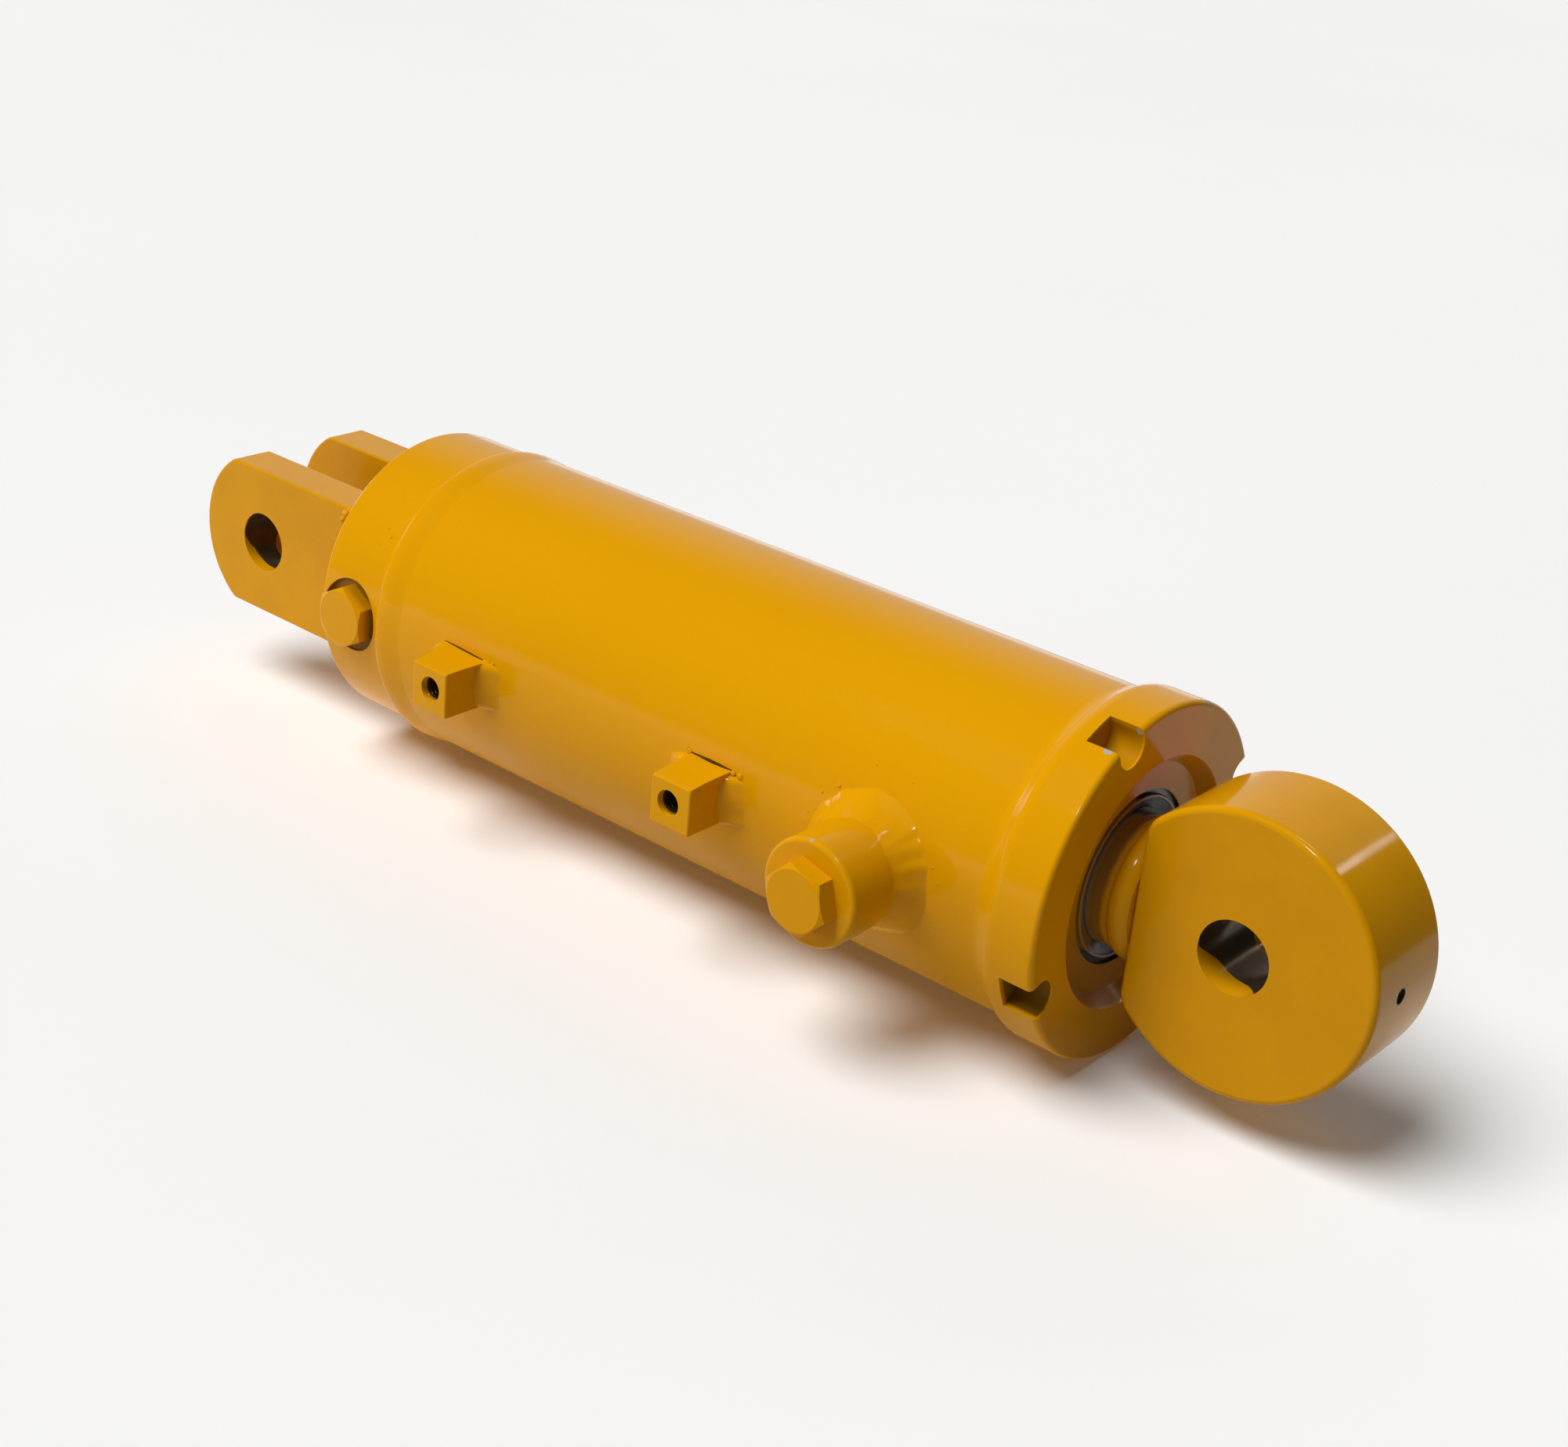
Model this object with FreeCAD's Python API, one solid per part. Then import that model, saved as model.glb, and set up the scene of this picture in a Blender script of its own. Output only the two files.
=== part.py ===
"""Double-acting hydraulic cylinder: clevis on the base cap, threaded head gland, rod with a pin eye.

Frame: millimetres, +Z up, origin at the centre of the clevis pin bore. +X runs along the cylinder
from the clevis to the rod eye, and both pins lie along Y. The two ports face -Y. The rod is drawn
fully retracted.
"""
import FreeCAD, Part
import math
import os

from FreeCAD import Vector

AXIS_X = Vector(1, 0, 0)
AXIS_Y = Vector(0, 1, 0)

# ---- Driving dimensions -------------------------------------------------------------------------
TUBE_R = 63.5                 # 5 in outside diameter tube
BORE_R = 50.8                 # 4 in bore
ROD_R = 25.4                  # 2 in rod
CLEVIS_BORE_R = 13.0          # for a 1 in pin
EYE_BORE_R = 13.6             # for a 1 in pin, with more working clearance
EYE_X = 488.1                 # clevis pin to eye pin, retracted
RUNNING_GAP = 0.05            # radial clearance where a ring slides on a shaft or in a bore
LOOSE_GAP = 0.5               # radial clearance where metal must not touch metal

# Base cap and its weld to the tube
CAP_R = 62.5
CAP_FACE_X = 71.25
CAP_BEVEL_X = 109.0           # where the weld bevel starts
CAP_ROOT_X = 114.5
CAP_END_X = 126.0             # inner end of the spigot that sits in the tube
CAP_RIM_ROUND = 1.5
CHAMBER_R = 27.0              # room for the piston nut
CHAMBER_X = 100.0
TUBE_START_X = 115.0
TUBE_BEVEL_X = 119.5
CAP_WELD_TOE_X = 105.1
TUBE_WELD_TOE_X = 123.6
CAP_WELD_CROWN = 2.2          # height of the weld crown above the tube

# Clevis
EAR_IN = 16.8                 # inner face of each ear, from the middle of the clevis
EAR_OUT = 36.8
EAR_HALF_HEIGHT = 32.8
EAR_END_R = 38.7
EAR_EDGE_ROUND = 1.0
EAR_WELD_LEG = 6.0

# Head gland, screwed into the tube
HEAD_FACE_X = 439.1
FLANGE_X = 409.6              # back of the flange, against the end of the tube
SHOULDER_START_X = 411.5      # where its swept shoulder leaves the tube's radius
SHOULDER_END_X = 422.0        # where the shoulder reaches the full radius
FLANGE_R = 67.5
FLANGE_RIM_ROUND = 2.0
THREAD_R = 54.0
THREAD_X = 392.0
SEAL_LAND_R = 52.4
SEAL_LAND_X = 374.0
PILOT_R = 43.0
HEAD_END_X = 350.0            # inner end of the pilot, where the piston stops
PILOT_SLOT_W = 10.0
PILOT_SLOT_DEPTH = 22.0
RECESS_MOUTH_R = 47.8
RECESS_FLOOR_R = 43.5
RECESS_FLOOR_X = 432.9
WIPER_POCKET_R = 33.3
NOTCH_ANGLES = (68.0, -22.5, 158.0, 248.0)   # spanner notches, degrees from -Y towards +Z
NOTCH_HALF_W = 7.15
NOTCH_BOTTOM_R = 56.2
NOTCH_LENGTH = 13.5

# Grooves in the head bore: (start x, end x, root radius)
INNER_WEAR_GROOVE = (356.0, 368.0, 28.0)
BUFFER_GROOVE = (378.0, 384.5, 31.4)
ROD_SEAL_GROOVE = (391.0, 401.0, 32.9)
OUTER_WEAR_GROOVE = (406.0, 416.0, 28.0)
WIPER_GROOVE = (421.0, RECESS_FLOOR_X, WIPER_POCKET_R)
WIPER_RIB_R = 30.2            # the raised rib on the wiper's face
WIPER_LIP_X = 430.6

# Groove outside the head: an O-ring with a back-up ring on its outboard side
HEAD_O_RING_D = SEAL_LAND_R - 49.0
HEAD_GROOVE = (380.0, 386.4, 49.0)
BACKUP_RING_W = 2.0

# Ports, both facing -Y, closed with hex plugs
PORT_R = 9.525                # 3/4-16 UNF
PORT_DEPTH = 15.0
PASSAGE_R = 6.0
CAP_PASSAGE_R = 5.0           # from the base port's passage into the nut chamber
PLUG_HEX_AF = 23.8
PLUG_HEX_H = 8.0
PLUG_LENGTH = 13.0
PLUG_NECK_R = 8.2
PLUG_O_RING_D = 2.2
PLUG_SEAT_R = PLUG_NECK_R + PLUG_O_RING_D
PLUG_NECK_L = 2.6
BASE_PORT_X = 88.0
BASE_PORT_Z = 0.5
BASE_PORT_FACE_Y = -59.8
BASE_SPOTFACE_R = 15.5
BASE_PLUG_TURN = 28.0
ROD_PORT_X = 364.4
ROD_PORT_Z = -2.0
ROD_PORT_FACE_Y = -95.0
ROD_PLUG_TURN = 45.0
BOSS_R = 20.2
BOSS_RIM_ROUND = 1.8
BOSS_WELD_LEG = 6.6

# Bracket blocks, welded to the side of the tube
BLOCK_SIDE = 19.0
BLOCK_FACE_Y = -83.2
BLOCK_Z = -1.8
BLOCK_TAP_R = 5.1             # M12 tapped hole
BLOCK_TAP_DEPTH = 15.0
BLOCK_TAP_Z = -1.2
BLOCKS = {"base": (160.5, 161.2), "rod": (289.2, 288.2)}    # block centre x, tapped hole x
BLOCK_EDGE_ROUND = 0.8
BLOCK_WELD_LEG = 5.5

# Piston and its rings
PISTON_START_X = 128.0
PISTON_END_X = 168.0
PISTON_R = 50.2
PISTON_SPIGOT_R = 16.0
WEAR_GROOVES = ((131.0, 139.0), (157.0, 165.0))
WEAR_ROOT_R = 48.2
SEAL_GROOVE = (143.5, 152.5)
SEAL_ROOT_R = 43.8
SEAL_SPLIT_R = 47.4           # between the sliding seal and its rubber expander
RING_SIDE_GAP = 0.1
PISTON_O_RING_X = 160.0
PISTON_O_RING_D = 2.6
NUT_AF = 41.0
NUT_LENGTH = 20.0
ROD_THREAD_R = 14.0
ROD_TAIL_X = 104.0

# Rod eye
EYE_R = 52.6
EYE_HALF_W = 22.3
EYE_FLAT_X = 448.1
EYE_CORNER_ROUND = 10.0
EYE_RIM_ROUND = 2.4
ROD_BEVEL_X = 441.5
ROD_BEVEL_R = 15.0
EYE_WELD_START_X = 440.0
EYE_WELD_CROWN_R = 27.2
EYE_WELD_TOE_R = 24.6
GREASE_HOLE_R = 2.75          # 1/4-28 UNF for a grease nipple
GREASE_HOLE_Y = -5.0
GREASE_HOLE_Z = 2.5
GREASE_THREAD_DEPTH = 8.0
GREASE_DRILL_R = 1.5


# ---- Shape helpers ------------------------------------------------------------------------------
def cylinder_x(radius, start, end):
    """Solid cylinder on the X axis."""
    return Part.makeCylinder(radius, end - start, Vector(start, 0, 0), AXIS_X)


def ring_x(outer, inner, start, end):
    """Plain ring on the X axis."""
    return cylinder_x(outer, start, end).cut(cylinder_x(inner, start - 1, end + 1))


def revolve_x(first, *steps):
    """Solid of revolution about X from (x, radius) points. A step of four numbers is an arc that
    passes through its first point and ends at its second."""
    here = Vector(first[0], first[1], 0)
    start = here
    edges = []
    for step in steps + (first,):
        end = Vector(step[-2], step[-1], 0)
        if len(step) == 4:
            edges.append(Part.Arc(here, Vector(step[0], step[1], 0), end).toShape())
        elif end.distanceToPoint(here) > 1e-6:
            edges.append(Part.makeLine(here, end))
        here = end
    face = Part.Face(Part.Wire(edges))
    return face.revolve(Vector(0, 0, 0), AXIS_X, 360)


def torus_x(major, section, x):
    """O-ring on the X axis, from its mean radius and its section diameter."""
    return Part.makeTorus(major, section / 2, Vector(x, 0, 0), AXIS_X)


def hole_y(radius, x, z, y_mouth, y_bottom):
    """Cylinder along Y that cuts a hole from its mouth on the -Y side."""
    return Part.makeCylinder(radius, y_bottom - y_mouth, Vector(x, y_mouth, z), AXIS_Y)


def box(x0, x1, y0, y1, z0, z1):
    """Box from its limits."""
    return Part.makeBox(x1 - x0, y1 - y0, z1 - z0, Vector(x0, y0, z0))


def hexagon_prism(across_flats, base, direction, height, turn):
    """Hexagonal prism. turn is the angle of one corner from +X, or from +Y on a prism along X."""
    corner_r = across_flats / math.sqrt(3)
    side = AXIS_X if abs(direction.x) < 0.5 else AXIS_Y
    other = Vector(0, 0, 1)
    corners = []
    for index in range(7):
        angle = math.radians(turn + 60 * index)
        corners.append(base + side * (corner_r * math.cos(angle)) + other * (corner_r * math.sin(angle)))
    return Part.Face(Part.makePolygon(corners)).extrude(direction * height)


def round_edges(shape, radius, wanted):
    """Fillet every edge for which wanted(edge) is true."""
    edges = [edge for edge in shape.Edges if wanted(edge)]
    return shape.makeFillet(radius, edges)


def is_rim(edge, x, radius):
    """True for a full or part circle about the X axis at this x and radius."""
    curve = edge.Curve
    if not isinstance(curve, Part.Circle) or abs(abs(curve.Axis.x) - 1) > 1e-6:
        return False
    return abs(curve.Center.x - x) < 0.01 and abs(curve.Radius - radius) < 0.01


def is_circle_y(edge, y, radius):
    """True for a full or part circle about an axis along Y at this y and radius."""
    curve = edge.Curve
    if not isinstance(curve, Part.Circle) or abs(abs(curve.Axis.y) - 1) > 1e-6:
        return False
    return abs(curve.Center.y - y) < 0.01 and abs(curve.Radius - radius) < 0.01


# ---- Barrel: tube, cap and clevis ---------------------------------------------------------------
def tube_envelope():
    """The tube without its bore, used to shape what is welded on it."""
    return cylinder_x(TUBE_R, TUBE_BEVEL_X, FLANGE_X)


def make_cylinder_tube():
    """Honed tube: weld bevel at the base end, seal land and thread for the head at the rod end."""
    tube = revolve_x(
        (TUBE_START_X, BORE_R),
        (TUBE_START_X, BORE_R + 1.6),
        (TUBE_BEVEL_X, TUBE_R),
        (FLANGE_X, TUBE_R),
        (FLANGE_X, THREAD_R),
        (THREAD_X, THREAD_R),
        (THREAD_X, SEAL_LAND_R),
        (SEAL_LAND_X, SEAL_LAND_R),
        (SEAL_LAND_X, BORE_R),
    )
    return tube.cut(hole_y(PASSAGE_R, ROD_PORT_X, ROD_PORT_Z, -TUBE_R - 1, -BORE_R + 5))


def make_base_cap():
    """Forged base cap with the spotfaced base port and the chamber for the piston nut."""
    cap = revolve_x(
        (CAP_FACE_X, 0),
        (CAP_FACE_X, CAP_R),
        (CAP_BEVEL_X, CAP_R),
        (CAP_ROOT_X, BORE_R),
        (CAP_END_X, BORE_R),
        (CAP_END_X, CHAMBER_R),
        (CHAMBER_X, CHAMBER_R),
        (CHAMBER_X, 0),
    )
    cap = round_edges(cap, CAP_RIM_ROUND, lambda edge: is_rim(edge, CAP_FACE_X, CAP_R))
    cap = cap.cut(hole_y(BASE_SPOTFACE_R, BASE_PORT_X, BASE_PORT_Z, -CAP_R - 5, BASE_PORT_FACE_Y))
    cap = cap.cut(port_cutter(BASE_PORT_X, BASE_PORT_Z, BASE_PORT_FACE_Y))
    cross = hole_y(PASSAGE_R, BASE_PORT_X, BASE_PORT_Z, BASE_PORT_FACE_Y, CAP_PASSAGE_R + 3)
    return cap.cut(cross.fuse(cylinder_x(CAP_PASSAGE_R, BASE_PORT_X, CHAMBER_X + 1)))


def make_base_cap_weld():
    """V-groove weld that joins cap and tube, with a low crown."""
    middle_x = (CAP_WELD_TOE_X + TUBE_WELD_TOE_X) / 2
    return revolve_x(
        (CAP_WELD_TOE_X, CAP_R),
        (middle_x, TUBE_R + CAP_WELD_CROWN, TUBE_WELD_TOE_X, TUBE_R),
        (TUBE_BEVEL_X, TUBE_R),
        (TUBE_START_X, BORE_R + 1.6),
        (TUBE_START_X, BORE_R),
        (CAP_ROOT_X, BORE_R),
        (CAP_BEVEL_X, CAP_R),
    )


def make_ear_blank():
    """Ear on the +Y side: flat plate with a large round end and eased corners."""
    plate = box(-EAR_END_R, CAP_FACE_X, EAR_IN, EAR_OUT, -EAR_HALF_HEIGHT, EAR_HALF_HEIGHT)
    end_disc = Part.makeCylinder(EAR_END_R, EAR_OUT - EAR_IN, Vector(0, EAR_IN, 0), AXIS_Y)
    behind_pin = box(-EAR_END_R, 0, EAR_IN, EAR_OUT, -EAR_HALF_HEIGHT, EAR_HALF_HEIGHT)
    ear = plate.cut(behind_pin).fuse(behind_pin.common(end_disc)).removeSplitter()

    def is_corner(edge):
        """The two edges along Y where the round end meets the top and bottom."""
        ends = [vertex.Point for vertex in edge.Vertexes]
        along_y = len(ends) == 2 and abs(ends[0].x - ends[1].x) + abs(ends[0].z - ends[1].z) < 1e-6
        return along_y and abs(abs(ends[0].z) - EAR_HALF_HEIGHT) < 1e-6 and ends[0].x < -1

    return round_edges(ear, 4.0, is_corner)


def make_clevis_ear(side):
    """Clevis ear with its pin bore. side is +1 for the +Y ear and -1 for the -Y ear."""
    ear = make_ear_blank()

    def is_outline(edge):
        """Edges of the two flat faces, except those that meet the cap."""
        middle = edge.valueAt((edge.FirstParameter + edge.LastParameter) / 2)
        on_face = min(abs(middle.y - EAR_IN), abs(middle.y - EAR_OUT)) < 1e-6
        return on_face and middle.x < CAP_FACE_X - 0.01

    ear = round_edges(ear, EAR_EDGE_ROUND, is_outline)
    ear = ear.cut(hole_y(CLEVIS_BORE_R, 0, 0, EAR_IN - 1, EAR_OUT + 1))
    return ear if side > 0 else ear.mirror(Vector(0, 0, 0), AXIS_Y)


def make_clevis_weld(side):
    """Fillet weld round the outer three sides of an ear's foot, on the end of the cap."""
    small = [(EAR_IN, -1), (EAR_OUT, -1), (EAR_OUT, 1), (EAR_IN, 1), (EAR_IN, -1)]
    wires = []
    for x, grow in ((CAP_FACE_X - EAR_WELD_LEG, 0.0), (CAP_FACE_X, EAR_WELD_LEG)):
        corners = []
        for y, top in small:
            outer = y + grow if y == EAR_OUT else y
            corners.append(Vector(x, outer, top * (EAR_HALF_HEIGHT + grow)))
        wires.append(Part.makePolygon(corners))
    weld = Part.makeLoft(wires, True, True)
    weld = weld.cut(make_ear_blank())
    weld = weld.common(cylinder_x(CAP_R - CAP_RIM_ROUND, CAP_FACE_X - 20, CAP_FACE_X))
    return weld if side > 0 else weld.mirror(Vector(0, 0, 0), AXIS_Y)


# ---- Ports --------------------------------------------------------------------------------------
def port_cutter(x, z, face_y):
    """Tapped port with a counterbore for the plug's O-ring."""
    thread = hole_y(PORT_R, x, z, face_y - 1, face_y + PORT_DEPTH)
    seat = hole_y(PLUG_SEAT_R, x, z, face_y - 1, face_y + PLUG_NECK_L)
    return thread.fuse(seat)


def make_port_plug(x, z, face_y, turn):
    """Hex plug: chamfered hex head, neck for the O-ring and threaded shank."""
    head_y = face_y - PLUG_HEX_H
    head = hexagon_prism(PLUG_HEX_AF, Vector(x, head_y, z), AXIS_Y, PLUG_HEX_H, turn)
    flat_r = PLUG_HEX_AF / 2 - 0.4
    slope = 3.5
    cone = Part.makeCone(flat_r, flat_r + slope, slope * 0.577, Vector(x, head_y, z), AXIS_Y)
    crown = cone.fuse(hole_y(flat_r + slope, x, z, head_y + slope * 0.577, face_y))
    head = head.common(crown)
    neck = hole_y(PLUG_NECK_R, x, z, face_y, face_y + PLUG_NECK_L)
    shank = hole_y(PORT_R, x, z, face_y + PLUG_NECK_L, face_y + PLUG_LENGTH)
    return head.fuse([neck, shank]).removeSplitter()


def make_plug_o_ring(x, z, face_y):
    """O-ring on the plug's neck."""
    mean_r = PLUG_NECK_R + PLUG_O_RING_D / 2
    middle_y = face_y + PLUG_O_RING_D / 2 + 0.1
    return Part.makeTorus(mean_r, PLUG_O_RING_D / 2, Vector(x, middle_y, z), AXIS_Y)


def make_rod_port_boss():
    """Round boss saddled on the tube, tapped for the rod-end port."""
    boss = hole_y(BOSS_R, ROD_PORT_X, ROD_PORT_Z, ROD_PORT_FACE_Y, 0)
    boss = round_edges(boss, BOSS_RIM_ROUND, lambda edge: is_circle_y(edge, ROD_PORT_FACE_Y, BOSS_R))
    boss = boss.cut(tube_envelope())
    boss = boss.cut(port_cutter(ROD_PORT_X, ROD_PORT_Z, ROD_PORT_FACE_Y))
    return boss.cut(hole_y(PASSAGE_R, ROD_PORT_X, ROD_PORT_Z, ROD_PORT_FACE_Y, 0))


def make_rod_port_weld():
    """Fillet weld round the boss: triangular sections that follow the saddle."""
    sections = []
    count = 24
    for index in range(count):
        angle = 2 * math.pi * index / count
        out = Vector(math.cos(angle), 0, math.sin(angle))
        centre = Vector(ROD_PORT_X, 0, ROD_PORT_Z)
        wall = centre + out * BOSS_R
        toe = centre + out * (BOSS_R + BOSS_WELD_LEG)
        wall_y = -math.sqrt(TUBE_R ** 2 - wall.z ** 2)
        toe_y = -math.sqrt(TUBE_R ** 2 - toe.z ** 2)
        inner = centre + out * (BOSS_R - 2)
        top = Vector(inner.x, wall_y - BOSS_WELD_LEG - 2, inner.z)
        low = Vector(toe.x, toe_y + 0.2, toe.z)
        deep = Vector(inner.x, toe_y + 3, inner.z)
        sections.append(Part.makePolygon([top, low, deep, top]))
    weld = Part.makeLoft(sections + sections[:1], True, True)
    weld = weld.cut(tube_envelope())
    weld = weld.cut(hole_y(BOSS_R, ROD_PORT_X, ROD_PORT_Z, ROD_PORT_FACE_Y, 0))
    return max(weld.Solids, key=lambda solid: solid.Volume)


# ---- Bracket blocks -----------------------------------------------------------------------------
def block_blank(centre_x):
    """Square bar that stands on the side of the tube."""
    half = BLOCK_SIDE / 2
    return box(centre_x - half, centre_x + half, BLOCK_FACE_Y, -BORE_R, BLOCK_Z - half, BLOCK_Z + half)


def make_bracket_block(centre_x, tap_x):
    """Bracket block with a blind tapped hole in its outer face."""
    block = block_blank(centre_x)
    block = round_edges(block, BLOCK_EDGE_ROUND, lambda edge: edge.BoundBox.YMin < -BORE_R - 1)
    block = block.cut(tube_envelope())
    bottom_y = BLOCK_FACE_Y + BLOCK_TAP_DEPTH
    block = block.cut(hole_y(BLOCK_TAP_R, tap_x, BLOCK_TAP_Z, BLOCK_FACE_Y - 1, bottom_y))
    drill_tip = Part.makeCone(BLOCK_TAP_R, 0, 3.0, Vector(tap_x, bottom_y, BLOCK_TAP_Z), AXIS_Y)
    return block.cut(drill_tip)


def make_bracket_weld(centre_x):
    """The two fillet beads of a block, one on each end face along the tube."""
    half = BLOCK_SIDE / 2
    beads = []
    for side in (-1, 1):
        wall_x = centre_x + side * half
        corners = [
            Vector(wall_x, -TUBE_R - BLOCK_WELD_LEG, BLOCK_Z - half),
            Vector(wall_x + side * BLOCK_WELD_LEG, -TUBE_R, BLOCK_Z - half),
            Vector(wall_x + side * BLOCK_WELD_LEG, -BORE_R, BLOCK_Z - half),
            Vector(wall_x, -BORE_R, BLOCK_Z - half),
        ]
        prism = Part.Face(Part.makePolygon(corners + corners[:1])).extrude(Vector(0, 0, BLOCK_SIDE))
        beads.append(prism.cut(tube_envelope()))
    return Part.makeCompound(beads)


# ---- Head gland and its seals -------------------------------------------------------------------
def notch_cutter(angle_degrees):
    """U-shaped spanner notch in the rim of the flange, open at the face."""
    start_x = HEAD_FACE_X - NOTCH_LENGTH
    middle_r = NOTCH_BOTTOM_R + NOTCH_HALF_W
    round_bottom = Part.makeCylinder(NOTCH_HALF_W, NOTCH_LENGTH + 1, Vector(start_x, -middle_r, 0), AXIS_X)
    outside = box(start_x, HEAD_FACE_X + 1, -FLANGE_R - 5, -middle_r, -NOTCH_HALF_W, NOTCH_HALF_W)
    cutter = round_bottom.fuse(outside)
    cutter.rotate(Vector(0, 0, 0), AXIS_X, -angle_degrees)
    return cutter


def shoulder_steps():
    """Steps of revolve_x for the S-shaped shoulder: a hollow arc, then an equal round one."""
    run = SHOULDER_END_X - SHOULDER_START_X
    rise = FLANGE_R - TUBE_R
    steepest = 2 * math.atan(rise / run)
    bend_r = run / (2 * math.sin(steepest))
    ahead = bend_r * math.sin(steepest / 2)
    sag = bend_r * (1 - math.cos(steepest / 2))
    return (
        (SHOULDER_START_X, TUBE_R),
        (SHOULDER_START_X + ahead, TUBE_R + sag, SHOULDER_START_X + run / 2, TUBE_R + rise / 2),
        (SHOULDER_END_X - ahead, FLANGE_R - sag, SHOULDER_END_X, FLANGE_R),
    )


def make_head_gland():
    """Head gland: notched flange, thread, static seal groove, oil slots and the rod seal grooves."""
    bore_r = ROD_R + LOOSE_GAP
    head = revolve_x(
        (HEAD_END_X, bore_r),
        (HEAD_END_X, PILOT_R),
        (SEAL_LAND_X, PILOT_R),
        (SEAL_LAND_X, SEAL_LAND_R),
        (THREAD_X, SEAL_LAND_R),
        (THREAD_X, THREAD_R),
        (FLANGE_X, THREAD_R),
        (FLANGE_X, TUBE_R),
        *shoulder_steps(),
        (HEAD_FACE_X, FLANGE_R),
        (HEAD_FACE_X, RECESS_MOUTH_R),
        (RECESS_FLOOR_X, RECESS_FLOOR_R),
        (RECESS_FLOOR_X, bore_r),
    )
    head = round_edges(head, FLANGE_RIM_ROUND, lambda edge: is_rim(edge, HEAD_FACE_X, FLANGE_R))
    for angle in NOTCH_ANGLES:
        head = head.cut(notch_cutter(angle))
    for start, end, root in (INNER_WEAR_GROOVE, BUFFER_GROOVE, ROD_SEAL_GROOVE, OUTER_WEAR_GROOVE):
        head = head.cut(cylinder_x(root, start, end))
    head = head.cut(cylinder_x(WIPER_POCKET_R, WIPER_GROOVE[0], WIPER_GROOVE[1] + 1))
    start, end, root = HEAD_GROOVE
    head = head.cut(ring_x(THREAD_R + 1, root, start, end))
    half = PILOT_SLOT_W / 2
    slot_end_x = HEAD_END_X + PILOT_SLOT_DEPTH
    for low_y, high_y in ((-PILOT_R - 1, -INNER_WEAR_GROOVE[2] - 4), (INNER_WEAR_GROOVE[2] + 4, PILOT_R + 1)):
        head = head.cut(box(HEAD_END_X - 1, slot_end_x, low_y, high_y, -half, half))
    return head


def make_head_wear_ring(groove):
    """Wear ring that guides the rod."""
    start, end, root = groove
    return ring_x(root, ROD_R + RUNNING_GAP, start, end)


def make_buffer_seal():
    """Buffer seal: step ring that takes the pressure peaks."""
    start, end, root = BUFFER_GROOVE
    middle = (start + end) / 2
    return revolve_x(
        (start, root),
        (end, root),
        (end, ROD_R + 1.2),
        (middle, ROD_R + RUNNING_GAP),
        (start, ROD_R + RUNNING_GAP),
    )


def make_rod_seal():
    """U-cup rod seal, open towards the pressure."""
    start, end, root = ROD_SEAL_GROOVE
    middle_r = (root + ROD_R) / 2
    return revolve_x(
        (start, root),
        (end, root),
        (end, ROD_R + 0.4),
        (start + 3, ROD_R + 0.4),
        (start, ROD_R + RUNNING_GAP),
        (start, middle_r - 1.2),
        (start + 4, middle_r),
        (start, middle_r + 1.2),
    )


def make_rod_wiper():
    """Wiper in the mouth of the gland: body, raised rib and the lip on the rod."""
    start, end, root = WIPER_GROOVE
    return revolve_x(
        (start, root),
        (end - 1.4, root),
        (end - 1.4, WIPER_RIB_R + 0.8),
        (end - 0.2, WIPER_RIB_R + 0.8),
        (end + 0.2, WIPER_RIB_R, end - 0.6, WIPER_RIB_R - 0.6),
        (WIPER_LIP_X, ROD_R + RUNNING_GAP),
        (WIPER_LIP_X - 1.5, ROD_R + RUNNING_GAP),
        (start + 3, ROD_R + 1.6),
        (start, ROD_R + 1.6),
    )


def make_head_o_ring():
    """Static O-ring between head and tube, on the pressure side of its back-up ring."""
    start, end, root = HEAD_GROOVE
    middle_x = (start + end - BACKUP_RING_W) / 2
    return torus_x(root + HEAD_O_RING_D / 2, HEAD_O_RING_D, middle_x)


def make_head_backup_ring():
    """Back-up ring beside the static O-ring."""
    start, end, root = HEAD_GROOVE
    return ring_x(SEAL_LAND_R, root, end - BACKUP_RING_W, end)


# ---- Piston rings, which slide in the tube ------------------------------------------------------
def make_piston_seal():
    """Sliding seal ring in the piston's middle groove."""
    start, end = SEAL_GROOVE
    return ring_x(BORE_R - RUNNING_GAP, SEAL_SPLIT_R, start + RING_SIDE_GAP, end - RING_SIDE_GAP)


def make_piston_seal_expander():
    """Rubber ring that presses the sliding seal outwards."""
    start, end = SEAL_GROOVE
    inner = SEAL_ROOT_R + RUNNING_GAP
    return ring_x(SEAL_SPLIT_R, inner, start + RING_SIDE_GAP, end - RING_SIDE_GAP)


def make_piston_wear_rings():
    """The two wear rings that guide the piston."""
    rings = []
    for start, end in WEAR_GROOVES:
        outer = BORE_R - RUNNING_GAP
        inner = WEAR_ROOT_R + RUNNING_GAP
        rings.append(ring_x(outer, inner, start + RING_SIDE_GAP, end - RING_SIDE_GAP))
    return Part.makeCompound(rings)


# ---- Rod assembly -------------------------------------------------------------------------------
def make_piston():
    """Piston with three ring grooves and an inner groove for its O-ring."""
    piston = ring_x(PISTON_R, PISTON_SPIGOT_R, PISTON_START_X, PISTON_END_X)
    for start, end in WEAR_GROOVES:
        piston = piston.cut(ring_x(PISTON_R + 1, WEAR_ROOT_R, start, end))
    piston = piston.cut(ring_x(PISTON_R + 1, SEAL_ROOT_R, *SEAL_GROOVE))
    half = PISTON_O_RING_D / 2 + 0.3
    groove_r = PISTON_SPIGOT_R + PISTON_O_RING_D
    return piston.cut(cylinder_x(groove_r, PISTON_O_RING_X - half, PISTON_O_RING_X + half))


def make_piston_nut():
    """Hex nut that clamps the piston against the rod's shoulder."""
    base = Vector(PISTON_START_X - NUT_LENGTH, 0, 0)
    nut = hexagon_prism(NUT_AF, base, AXIS_X, NUT_LENGTH, 30)
    return nut.cut(cylinder_x(ROD_THREAD_R, base.x - 1, PISTON_START_X + 1))


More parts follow.
